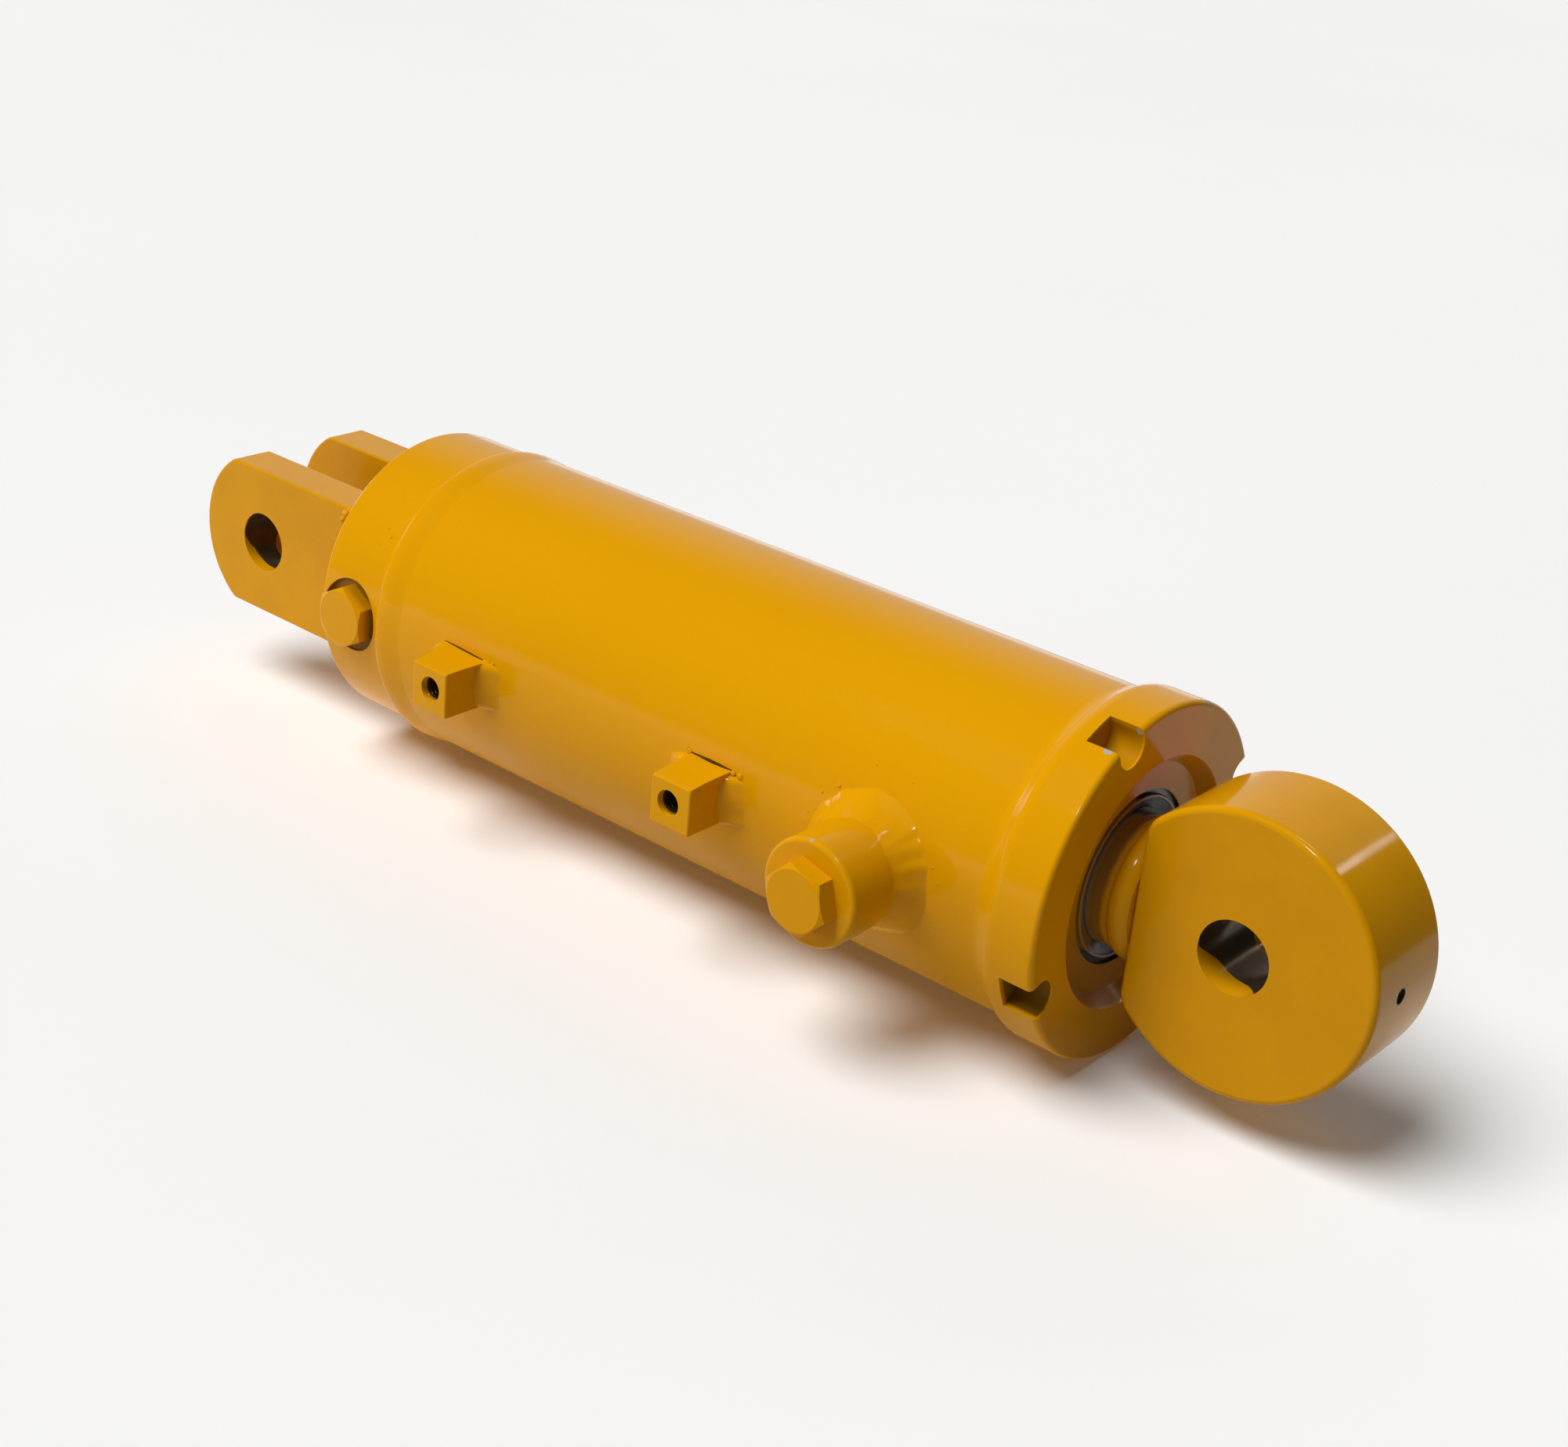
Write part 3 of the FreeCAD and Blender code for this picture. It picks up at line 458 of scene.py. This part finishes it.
def rod_material():
    """Polished chrome with faint turning marks. At the gland's mouth a dull brown is partly paint mist
    and partly a painted reflection of the dark brown recess, and the last millimetres at the eye are
    painted."""
    nodes = Surface("rod_hard_chrome")
    x, _, _ = nodes.axes()
    edge = nodes.maths("ADD", x, nodes.product(nodes.noise(300.0, 3.0), 1.2 * MM))
    painted = nodes.ranged(edge, HEAD_FACE_X - 1.7 * MM, HEAD_FACE_X + 0.3 * MM)
    outside = nodes.ranged(x, RECESS_FLOOR_X - 1.9 * MM, RECESS_FLOOR_X + 0.1 * MM)
    # The dull brown here is partly paint mist and partly a painted reflection of the dark brown recess.
    mist = nodes.product(overspray(nodes), outside)
    rings = nodes.noise(1.0, 3.0, 0.6, nodes.stretched((2600.0, 30.0, 30.0)))
    smear = nodes.ranged(nodes.noise(24.0, 4.0, 0.6), 0.35, 0.75)
    chrome = nodes.mixed(smear, (0.62, 0.61, 0.60), (0.50, 0.48, 0.45))
    mist_and_reflection = nodes.mixed(mist, chrome, MIST)
    nodes.link(nodes.mixed(painted, mist_and_reflection, paint_colour(nodes)), nodes.shader.inputs["Base Color"])
    coated = nodes.maths("MAXIMUM", painted, mist)
    polish = nodes.ranged(rings, 0.2, 0.8, 0.05, 0.12)
    gloss = nodes.maths("ADD", polish, nodes.product(coated, 0.18))
    nodes.link(gloss, nodes.shader.inputs["Roughness"])
    nodes.link(nodes.maths("SUBTRACT", 1.0, coated), nodes.shader.inputs["Metallic"])
    nodes.link(nodes.bump(rings, 0.000004, 0.5), nodes.shader.inputs["Normal"])
    return nodes.material


def turned_metal(name, light, dark, rough, pitch=1500.0):
    """Machined metal with tool marks round the cylinder's axis and an oil film."""
    nodes = Surface(name)
    marks = nodes.noise(1.0, 2.0, 0.6, nodes.stretched((pitch, 40.0, 40.0)))
    film = nodes.ranged(nodes.noise(90.0, 4.0, 0.6), 0.35, 0.70)
    gloss = nodes.ranged(marks, 0.2, 0.8, rough - 0.08, rough + 0.08)
    nodes.link(nodes.mixed(film, light, dark), nodes.shader.inputs["Base Color"])
    nodes.link(gloss, nodes.shader.inputs["Roughness"])
    nodes.link(nodes.bump(marks, 0.000030, 0.6), nodes.shader.inputs["Normal"])
    nodes.shader.inputs["Metallic"].default_value = 0.95
    return nodes.material


def polymer(name, light, dark, rough, grain, relief=0.000015):
    """Seal and wear ring material: fine grain, slight blotches and moulding relief."""
    nodes = Surface(name)
    blotch = nodes.ranged(nodes.noise(130.0, 3.0), 0.30, 0.70)
    fine = nodes.noise(grain, 3.0, 0.6)
    gloss = nodes.ranged(fine, 0.2, 0.8, rough - 0.08, rough + 0.08)
    nodes.link(nodes.mixed(blotch, light, dark), nodes.shader.inputs["Base Color"])
    nodes.link(gloss, nodes.shader.inputs["Roughness"])
    nodes.link(nodes.bump(fine, relief, 0.6), nodes.shader.inputs["Normal"])
    return nodes.material


def wiper_material():
    """Black polyurethane. A pale grey band on the raised rib is a painted highlight, and paint mist
    lies on one side.
    """
    nodes = Surface("wiper_polyurethane")
    x, y, z = nodes.axes()
    reach = nodes.radius(y, z)
    # The pale grey placed on the rib below is a painted highlight along its edge.
    rib_out = nodes.ranged(reach, WIPER_RIB_R + 0.7 * MM, WIPER_RIB_R + 0.3 * MM)
    rib_in = nodes.ranged(reach, WIPER_RIB_R - 0.8 * MM, WIPER_RIB_R - 0.4 * MM)
    front = nodes.ranged(x, RECESS_FLOOR_X - 0.7 * MM, RECESS_FLOOR_X - 0.4 * MM)
    rib = nodes.product(rib_out, rib_in, front)
    dust = nodes.ranged(nodes.noise(240.0, 4.0, 0.65), 0.45, 0.75)
    body = nodes.mixed(dust, (0.012, 0.011, 0.010), (0.035, 0.028, 0.020))
    rib_highlighted = nodes.mixed(rib, body, (0.36, 0.30, 0.22))
    mist = nodes.product(overspray(nodes), 0.95)
    gloss = nodes.ranged(dust, 0.0, 1.0, 0.28, 0.50)
    nodes.link(nodes.mixed(mist, rib_highlighted, MIST), nodes.shader.inputs["Base Color"])
    nodes.link(nodes.maths("ADD", gloss, nodes.product(mist, 0.30)), nodes.shader.inputs["Roughness"])
    nodes.link(nodes.bump(nodes.noise(900.0, 2.0), 0.000015, 0.5), nodes.shader.inputs["Normal"])
    return nodes.material


def dress_cad_nodes():
    """Gives every CAD node its detailed material. Returns the plain enamel."""
    plain = paint_plain()
    block = paint_block()
    rubber = polymer("nitrile_rubber", (0.010, 0.010, 0.010), (0.022, 0.021, 0.020), 0.45, 1500.0)
    urethane = polymer("red_polyurethane", (0.20, 0.018, 0.012), (0.14, 0.012, 0.010), 0.35, 1200.0)
    fluoro = polymer("bronze_filled_ptfe", (0.14, 0.085, 0.040), (0.10, 0.060, 0.030), 0.42, 2200.0)
    resin = polymer("fabric_resin", (0.10, 0.045, 0.020), (0.17, 0.085, 0.035), 0.50, 1800.0, 0.000040)
    iron = turned_metal("ductile_iron", (0.30, 0.29, 0.28), (0.17, 0.16, 0.15), 0.36)
    steel = turned_metal("nut_steel", (0.24, 0.23, 0.22), (0.09, 0.085, 0.08), 0.40, 700.0)
    finishes = {
        "cylinder_tube": paint_tube(),
        "base_cap": paint_cap(),
        "base_port_plug": paint_base_plug(),
        "clevis_ear_left": paint_ear(1),
        "clevis_ear_right": paint_ear(-1),
        "base_bracket_block": block,
        "rod_bracket_block": block,
        "head_gland": paint_head(),
        "rod_port_boss": paint_boss(),
        "rod_eye": paint_eye(),
        "piston_rod": rod_material(),
        "piston": iron,
        "piston_nut": steel,
        "rod_wiper": wiper_material(),
        "rod_seal": urethane,
        "buffer_seal": fluoro,
        "piston_seal": fluoro,
        "head_backup_ring": fluoro,
        "head_inner_wear_ring": resin,
        "head_outer_wear_ring": resin,
        "piston_wear_rings": resin,
    }
    for rubber_node in ("head_o_ring", "piston_o_ring", "base_plug_o_ring", "rod_plug_o_ring",
                        "piston_seal_expander"):
        finishes[rubber_node] = rubber
    for name, node in NODES.items():
        node.data.materials.clear()
        node.data.materials.append(finishes.get(name, plain))
    return plain


# ---- Weld beads, spatter and threads -------------------------------------------------------------
def add_piece(name, build, body, material):
    """Turns a bmesh into a smooth-shaded piece that rides on a body."""
    bmesh.ops.recalc_face_normals(build, faces=build.faces)
    mesh = bpy.data.meshes.new(name)
    build.to_mesh(mesh)
    build.free()
    for face in mesh.polygons:
        face.use_smooth = True
    mesh.set_sharp_from_angle(angle=math.radians(40.0))
    mesh.materials.append(material)
    piece = bpy.data.objects.new(name, mesh)
    bpy.context.scene.collection.objects.link(piece)
    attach(piece, body)
    return piece


def sweep(build, rings, closed):
    """Skins rings of points. A closed sweep joins its last ring to its first. An open one is capped."""
    rows = [[build.verts.new(point) for point in ring] for ring in rings]
    pairs = list(zip(rows, rows[1:] + rows[:1]))
    for here, there in pairs if closed else pairs[:-1]:
        for index in range(len(here)):
            following = (index + 1) % len(here)
            build.faces.new((here[index], here[following], there[following], there[index]))
    if not closed:
        build.faces.new(rows[0])
        build.faces.new(rows[-1])


def bead(build, place, length, wall_leg, base_leg, closed=False, shape=1.5, lumps=0.16,
         ripple=0.08, taper=2.6 * MM):
    """Fillet weld bead. place(s, a, b) is the point at distance s along the path, a out from the
    wall and b above the base. shape 1 is full and round, 2 is a flat fillet and above 2 is hollow.
    lumps is the share by which the legs wander, ripple the height of the ripples in millimetres
    and taper the length over which an open bead fades at its ends."""
    steps = max(12, int(length / (0.65 * MM)))
    ripples = 2 * math.pi * round(length / (2.9 * MM)) / length
    across = 12
    rings = []
    for step in range(steps if closed else steps + 1):
        s = length * step / steps
        fade = 1.0
        if not closed:
            from_end = min(s, length - s) / taper
            fade = math.sqrt(max(0.02, 1 - (1 - min(1.0, from_end)) ** 2))
        middle = place(s, base_leg, 0.0)
        wave_wall = 1 + lumps * noise.noise(middle * 150.0)
        wave_base = 1 + lumps * noise.noise(middle * 190.0 + Vector((7.0, 3.0, 1.0)))
        toe_wall = wall_leg * wave_wall * fade
        toe_base = base_leg * wave_base * fade
        ring = []
        for index in range(across + 1):
            angle = math.pi / 2 * index / across
            a = toe_base * math.sin(angle) ** shape
            b = toe_wall * math.cos(angle) ** shape
            chevron = math.sin(ripples * s + 2.2 * math.sin(2 * angle))
            rough = 0.9 * noise.noise(place(s, a, b) * 420.0)
            swell = (ripple * chevron + 0.12 * rough) * MM * math.sin(2 * angle) * fade
            ring.append(place(s, a + swell * math.sin(angle), b + swell * math.cos(angle)))
        ring.append(place(s, toe_base, -0.5 * MM))
        ring.append(place(s, -0.5 * MM, -0.5 * MM))
        ring.append(place(s, -0.5 * MM, toe_wall))
        rings.append(ring)
    sweep(build, rings, closed)


def on_tube(x, z, lift):
    """Point on the ports' side of the tube, lifted off its surface along -Y."""
    return Vector((x, -math.sqrt(TUBE_R ** 2 - z ** 2) - lift, z))


def make_boss_bead(material):
    """Broad hollow fillet weld that saddles the rod-end port's boss on the tube."""
    def place(s, a, b):
        angle = s / BOSS_R
        reach = BOSS_R + a
        return on_tube(BOSS_X + reach * math.cos(angle), BOSS_Z + reach * math.sin(angle), b)

    build = bmesh.new()
    bead(build, place, 2 * math.pi * BOSS_R, 10.5 * MM, 7.0 * MM,
         closed=True, shape=2.5, lumps=0.14, ripple=0.015)
    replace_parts(add_piece("boss_weld_bead", build, "barrel", material), "rod_port_weld")


def make_block_beads(material):
    """One bead on each end face of a bracket block, run past the top of the block."""
    for node, centre in zip(("base_bracket_weld", "rod_bracket_weld"), BLOCK_X):
        build = bmesh.new()
        for side in (-1, 1):
            start = BLOCK_Z - BLOCK_HALF - 0.6 * MM
            length = 2 * BLOCK_HALF + 1.8 * MM
            wall = centre + side * BLOCK_HALF

            def place(s, a, b, start=start, wall=wall, side=side):
                return on_tube(wall + side * a, start + s, b)

            bead(build, place, length, 4.4 * MM, 9.2 * MM,
                 shape=2.4, lumps=0.22, ripple=0.01, taper=3.4 * MM)
        piece = add_piece(node.replace("_weld", "_bead"), build, "barrel", material)
        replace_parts(piece, node)


def ear_foot(side, s):
    """Point (y, z) and outward direction at distance s round the outer three sides of an ear's foot."""
    width = EAR_OUT - EAR_IN
    turn = BEAD_CORNER_R * math.pi / 2
    runs = (
        (EAR_IN, -EAR_HALF_HEIGHT, 1, 0, width),
        (EAR_OUT, -EAR_HALF_HEIGHT, 0, 1, 2 * EAR_HALF_HEIGHT),
        (EAR_OUT, EAR_HALF_HEIGHT, -1, 0, width),
    )
    for index, (y, z, step_y, step_z, run) in enumerate(runs):
        if s <= run:
            return side * (y + step_y * s), z + step_z * s, side * step_z, -step_y
        s -= run
        corner_y, corner_z = y + step_y * run, z + step_z * run
        if s <= turn and index < 2:
            angle = math.pi / 2 * s / turn
            out_y = step_z * math.cos(angle) + step_y * math.sin(angle)
            out_z = -step_y * math.cos(angle) + step_z * math.sin(angle)
            return side * corner_y, corner_z, side * out_y, out_z
        s -= turn
    return side * EAR_IN, EAR_HALF_HEIGHT, 0.0, 1.0


def make_ear_beads(material):
    """Fillet bead round the outer three sides of each ear's foot, on the end of the cap."""
    length = 2 * (EAR_OUT - EAR_IN) + 2 * EAR_HALF_HEIGHT + BEAD_CORNER_R * math.pi
    for name, side in (("left", 1), ("right", -1)):
        def place(s, a, b, side=side):
            y, z, out_y, out_z = ear_foot(side, s)
            return Vector((CAP_FACE_X - b, y + out_y * a, z + out_z * a))

        build = bmesh.new()
        bead(build, place, length, 6.2 * MM, 6.0 * MM, shape=1.35, lumps=0.18)
        piece = add_piece("clevis_bead_" + name, build, "barrel", material)
        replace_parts(piece, "clevis_weld_" + name)


def make_cap_bead(material):
    """Wide automatic weld between cap and tube: low smooth crown with faint ripples."""
    start, end = CAP_WELD_TOE_X, TUBE_WELD_TOE_X
    ridge = 0.16
    around, across = 420, 28
    build = bmesh.new()
    rings = []
    for step in range(around):
        angle = 2 * math.pi * step / around
        out = Vector((0.0, math.cos(angle), math.sin(angle)))
        drift = noise.noise(out * 2.3)
        full = (CAP_WELD_CROWN - 0.8 * MM * max(0.0, out.z)) * (1 + 0.05 * drift)
        ring = []
        for index in range(across + 1):
            t = index / across
            toe = CAP_R + (TUBE_R - CAP_R - 0.08 * MM) * t
            rise = math.sin(math.pi / 2 * min(1.0, t / ridge)) ** 0.9
            fall = 0.5 + 0.5 * math.cos(math.pi * max(0.0, (t - ridge) / (1 - ridge)))
            ripple = math.sin(angle * 130 + 5.0 * (t - 0.5) ** 2)
            x = start + (end - start) * t + 0.35 * MM * drift
            rough = noise.noise(Vector((x * 90.0, out.y * 9.0, out.z * 9.0)))
            height = (full + (0.045 * ripple + 0.14 * rough) * MM) * rise * fall
            ring.append(Vector((x, 0.0, 0.0)) + out * (toe + height))
        ring.append(Vector((end, 0.0, 0.0)) + out * (TUBE_R - 2.0 * MM))
        ring.append(Vector((start, 0.0, 0.0)) + out * (CAP_R - 2.0 * MM))
        rings.append(ring)
    sweep(build, rings, True)
    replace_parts(add_piece("cap_weld_bead", build, "barrel", material), "base_cap_weld")


def make_block_ramps(material, crevice):
    """Thin wedge of weld and paint over the top of each block, and behind it a dark strip that is the
    painted shadow of the narrow crevice.
    """
    top = BLOCK_Z + BLOCK_HALF
    front_y = BLOCK_FACE_Y + 0.8 * MM
    back_y = -TUBE_R + 0.2 * MM
    buried_y = -TUBE_R + 2.0 * MM
    steps, rows = 40, 8
    for centre, (name, (left, right, left_z, right_z, gap)) in zip(BLOCK_X, CREVICES.items()):
        ramp, line = bmesh.new(), bmesh.new()
        ramp_rings, line_rings = [], []
        for step in range(steps + 1):
            t = step / steps
            front_x = centre + (2 * t - 1) * (BLOCK_HALF - 0.15 * MM)
            back_x = left + (right - left) * t
            waver = 0.12 * MM * noise.noise(Vector((back_x * 400.0, 1.0, 0.0)))
            z = left_z + (right_z - left_z) * t + waver
            half = gap * (0.30 + 0.70 * math.sin(math.pi * min(0.95, max(0.05, t)))) / 2
            foot = z - half
            ring = []
            for row in range(rows + 1):
                w = row / rows
                x = front_x + (back_x - front_x) * w ** 2
                ring.append(Vector((x, front_y + (back_y - front_y) * w, top + (foot - top) * w)))
            ring.append(Vector((back_x, buried_y, foot)))
            ring.append(Vector((back_x, buried_y, top - 1.0 * MM)))
            ring.append(Vector((front_x, front_y, top - 0.4 * MM)))
            ramp_rings.append(ring)
            line_rings.append([
                on_tube(back_x, z - half - 0.1 * MM, 0.10 * MM),
                on_tube(back_x, z, 0.12 * MM),
                on_tube(back_x, z + half, 0.02 * MM),
                on_tube(back_x, z + half, -0.60 * MM),
                on_tube(back_x, z - half - 0.1 * MM, -0.60 * MM),
            ])
        sweep(ramp, ramp_rings, False)
        sweep(line, line_rings, False)
        add_piece(name + "_block_wedge", ramp, "barrel", material)
        add_piece(name + "_block_crevice_shadow", line, "barrel", crevice)


def make_spatter(material):
    """Small drops of weld metal under the paint, near the welds."""
    build = bmesh.new()
    draw = random.Random(5)
    drops = list(SPATTER)
    for _ in range(14):
        angle = draw.uniform(0.0, 2 * math.pi)
        reach = BOSS_R + draw.uniform(7.5, 15.0) * MM
        x, z = BOSS_X + reach * math.cos(angle), BOSS_Z + reach * math.sin(angle)
        drops.append((x, -math.sqrt(TUBE_R ** 2 - z ** 2), z, draw.uniform(0.20, 0.45) * MM))
    for _ in range(18):
        angle = draw.uniform(0.0, 2 * math.pi)
        x = draw.choice((draw.uniform(94.0, 103.0), draw.uniform(125.0, 131.0))) * MM
        radius = CAP_R if x < CAP_WELD_TOE_X else TUBE_R
        size = draw.uniform(0.18, 0.35) * MM
        drops.append((x, radius * math.cos(angle), radius * math.sin(angle), size))
    for x, y, z, size in drops:
        out = Vector((0.0, y, z if x > CAP_FACE_X else 0.8 * z)).normalized()
        turn = out.to_track_quat("Z", "Y").to_matrix().to_4x4()
        made = bmesh.ops.create_icosphere(build, subdivisions=2, radius=1.0)
        for vertex in made["verts"]:
            lump = 1 + 0.35 * noise.noise(vertex.co * 1.7 + Vector((x, y, z)) * 900.0)
            vertex.co = vertex.co * lump * size
            vertex.co.z *= 0.5
            vertex.co = Matrix.Translation((x, y, z)) @ turn @ vertex.co
    add_piece("weld_spatter", build, "barrel", material)


def make_thread(build, centre, axis, radius, pitch, start, end):
    """Helical thread crests that stand in from the wall of a tapped hole. axis points out of it."""
    side = axis.orthogonal().normalized()
    other = axis.cross(side)
    per_turn = 44
    steps = int((end - start) / pitch * per_turn)
    root = radius + 0.06 * MM
    rings = []
    for step in range(steps + 1):
        depth = start + (end - start) * step / steps
        angle = 2 * math.pi * step / per_turn
        out = side * math.cos(angle) + other * math.sin(angle)
        fade = min(1.0, 2 * step / per_turn, 2 * (steps - step) / per_turn)
        crest = radius - 0.24 * pitch * fade
        ring = []
        for reach, shift in ((root, -0.42), (crest, -0.07), (crest, 0.07), (root, 0.42)):
            ring.append(centre + out * reach - axis * (depth + shift * pitch))
        rings.append(ring)
    sweep(build, rings, False)


def make_threads():
    """Threads in the bracket blocks' holes and in the grease hole of the eye."""
    outward = Vector((0.0, -1.0, 0.0))
    for name, tap_x in zip(("base_block_thread", "rod_block_thread"), TAP_X):
        build = bmesh.new()
        mouth = Vector((tap_x, BLOCK_FACE_Y, TAP_Z))
        make_thread(build, mouth, outward, TAP_R, 1.75 * MM, 1.1 * MM, 14.0 * MM)
        add_piece(name, build, "barrel", NODES["base_bracket_block"].data.materials[0])
    build = bmesh.new()
    mouth = Vector((EYE_X + math.sqrt(EYE_R ** 2 - GREASE_Z ** 2), GREASE_Y, GREASE_Z))
    make_thread(build, mouth, Vector((1.0, 0.0, 0.0)), GREASE_R, 0.907 * MM, 0.8 * MM, 7.4 * MM)
    add_piece("grease_thread", build, "rod", NODES["rod_eye"].data.materials[0])


# ---- Stage, lights and camera --------------------------------------------------------------------
def make_sheet(name, size, place, material):
    """Flat square sheet of the studio, half as wide as size."""
    mesh = bpy.data.meshes.new(name)
    build = bmesh.new()
    bmesh.ops.create_grid(build, x_segments=2, y_segments=2, size=size)
    build.to_mesh(mesh)
    build.free()
    mesh.materials.append(material)
    sheet = bpy.data.objects.new(name, mesh)
    sheet.location = place
    sheet.visible_shadow = False
    bpy.context.scene.collection.objects.link(sheet)
    return sheet


def make_floor():
    """Plain pale floor under the cylinder. It is only for the eye: it lights nothing, shows in no
    reflection, and lets the card's light through."""
    nodes = Surface("studio_floor")
    tone = nodes.ranged(nodes.noise(1.3, 2.0), 0.2, 0.8)
    colour = nodes.mixed(tone, (0.97, 0.97, 0.965), (0.95, 0.95, 0.945))
    nodes.link(colour, nodes.shader.inputs["Base Color"])
    nodes.shader.inputs["Roughness"].default_value = 0.8
    nodes.shader.inputs["Specular IOR Level"].default_value = 0.0
    floor = make_sheet("floor", 12.0, (0.25, 0.0, -FLANGE_R - 0.4 * MM), nodes.material)
    floor.visible_diffuse = False
    floor.visible_glossy = False


def make_bounce_card():
    """Card just under the floor that gives the cylinder the soft light a real table would. It is
    palest under the clevis and behind the eye, and dark in a strip under the tube: a painted shadow of
    the tube."""
    nodes = Surface("bounce_card")
    x, y, _ = nodes.axes()
    tone = nodes.mixed(nodes.ranged(x, -0.18, 0.10), (0.84, 0.83, 0.81), (0.50, 0.49, 0.48))
    tone = nodes.mixed(nodes.ranged(x, 0.16, 0.32), tone, (0.52, 0.51, 0.50))
    behind_eye = nodes.product(nodes.ranged(x, 0.20, 0.30), nodes.ranged(y, 0.03, 0.10))
    tone = nodes.mixed(behind_eye, tone, (0.95, 0.94, 0.92))
    strip = nodes.ranged(nodes.apart(y, 0.065), 0.060, 0.030, 0.0, 0.6)
    tube_shadow = nodes.product(strip, nodes.ranged(x, 0.20, 0.12))
    tone = nodes.mixed(tube_shadow, tone, (0.05, 0.05, 0.05))
    nodes.link(tone, nodes.shader.inputs["Base Color"])
    nodes.shader.inputs["Roughness"].default_value = 0.9
    card = make_sheet("bounce_card", 0.5, (0.20, -0.03, -FLANGE_R - 1.0 * MM), nodes.material)
    card.scale = (1.2, 1.1, 1.0)
    card.visible_camera = False


def make_light(name, place, aim, size, power, reflected):
    """Rectangular light at a place, aimed at a point. It either shows only in reflections, as a
    window, or only adds soft light."""
    data = bpy.data.lights.new(name, "AREA")
    data.shape = "RECTANGLE"
    data.size, data.size_y = size
    data.energy = power
    light = bpy.data.objects.new(name, data)
    light.location = place
    direction = Vector(aim) - Vector(place)
    light.rotation_euler = direction.to_track_quat("-Z", "Y").to_euler()
    light.visible_camera = False
    light.visible_diffuse = not reflected
    light.visible_glossy = reflected
    bpy.context.scene.collection.objects.link(light)


def make_lights():
    """Broad soft sky light from above on the clevis and ports' side, two fills that only add soft
    light, and four small windows that only show in reflections."""
    sky = bpy.data.lights.new("sky", "SUN")
    sky.energy = 2.88
    sky.angle = math.radians(38.0)
    above = bpy.data.objects.new("sky", sky)
    above.rotation_euler = Vector((0.25, 0.42, -0.87)).to_track_quat("-Z", "Y").to_euler()
    above.visible_glossy = False
    bpy.context.scene.collection.objects.link(above)
    make_light("left_window", (-2.40, -0.10, 0.55), (0.26, 0.0, 0.0), (0.6, 0.4), 2.8, True)
    make_light("back_window", (1.02, 1.66, 1.03), (0.52, 0.0, 0.044), (0.12, 0.08), 0.45, True)
    make_light("ceiling_strip", (0.58, 0.22, 1.03), (0.50, 0.0, 0.05), (0.06, 0.6), 2.2, True)
    make_light("front_fill", (-1.30, -1.80, 0.30), (0.30, 0.0, -0.02), (1.3, 0.5), 6.4, False)
    make_light("right_fill", (0.80, -0.45, 0.30), (0.46, -0.02, 0.0), (0.30, 0.30), 0.12, False)
    make_light("upper_window", (0.66, -0.89, 1.11), (0.50, 0.0, 0.03), (0.14, 0.14), 7.0, True)


def make_surround():
    """Surround with a dim ceiling, a pale floor and a pale wall behind, dark towards +X. The camera
    itself sees it plain and pale."""
    world = bpy.data.worlds.new("surround")
    world.use_nodes = True
    nodes = Nodes(world.node_tree, "Generated")
    x, y, z = nodes.axes()
    low = nodes.ranged(z, 0.03, -0.06)
    dark_side = nodes.product(nodes.ranged(x, 0.20, 0.50), nodes.ranged(z, -0.38, -0.26))
    brightness = nodes.ranged(x, 0.10, -0.55, 0.52, 1.05)
    floor = nodes.product(low, nodes.maths("SUBTRACT", 1.0, dark_side), brightness)
    standing = nodes.product(nodes.ranged(z, -0.04, 0.04), nodes.ranged(z, 0.85, 0.45))
    wall = nodes.product(nodes.ranged(y, 0.15, 0.50), standing, nodes.ranged(x, 0.27, 0.21), 0.62)
    around = nodes.maths("ADD", nodes.maths("ADD", floor, wall), 0.07)
    seen = nodes.tree.nodes.new("ShaderNodeLightPath").outputs["Is Camera Ray"]
    unseen = nodes.product(around, nodes.maths("SUBTRACT", 1.0, seen))
    background = nodes.tree.nodes["Background"]
    background.inputs["Color"].default_value = (1.0, 0.99, 0.97, 1.0)
    strength = nodes.maths("ADD", unseen, nodes.product(seen, 0.88))
    nodes.link(strength, background.inputs["Strength"])
    bpy.context.scene.world = world


def make_camera():
    """Camera at the photograph's angle."""
    place = Vector((0.79966, -0.67056, 0.38830))
    target = Vector((0.27229, 0.0, 0.00057))
    roll = math.radians(5.64)
    data = bpy.data.cameras.new("camera")
    data.lens = 55.34
    data.sensor_width = 36.0
    data.clip_start = 0.02
    data.clip_end = 60.0
    forward = (target - place).normalized()
    level = forward.cross(Vector((0.0, 0.0, 1.0))).normalized()
    down = forward.cross(level)
    right = math.cos(roll) * level - math.sin(roll) * down
    below = math.sin(roll) * level + math.cos(roll) * down
    turn = Matrix((right, -below, -forward)).transposed()
    camera = bpy.data.objects.new("camera", data)
    camera.matrix_world = Matrix.Translation(place) @ turn.to_4x4()
    bpy.context.scene.collection.objects.link(camera)
    bpy.context.scene.camera = camera


# ---- Put it together -----------------------------------------------------------------------------
enamel = dress_cad_nodes()
make_cap_bead(enamel)
make_boss_bead(enamel)
make_block_beads(enamel)
# Dark browns of the strip in each block's crevice are a painted shadow.
crevice_shadow = polymer("crevice_shadow", (0.060, 0.028, 0.001), (0.110, 0.052, 0.001), 0.6, 900.0)
make_block_ramps(enamel, crevice_shadow)
make_ear_beads(enamel)
make_spatter(enamel)
make_threads()
make_floor()
make_bounce_card()
make_lights()
make_surround()
make_camera()
bpy.context.scene.view_settings.view_transform = "Standard"
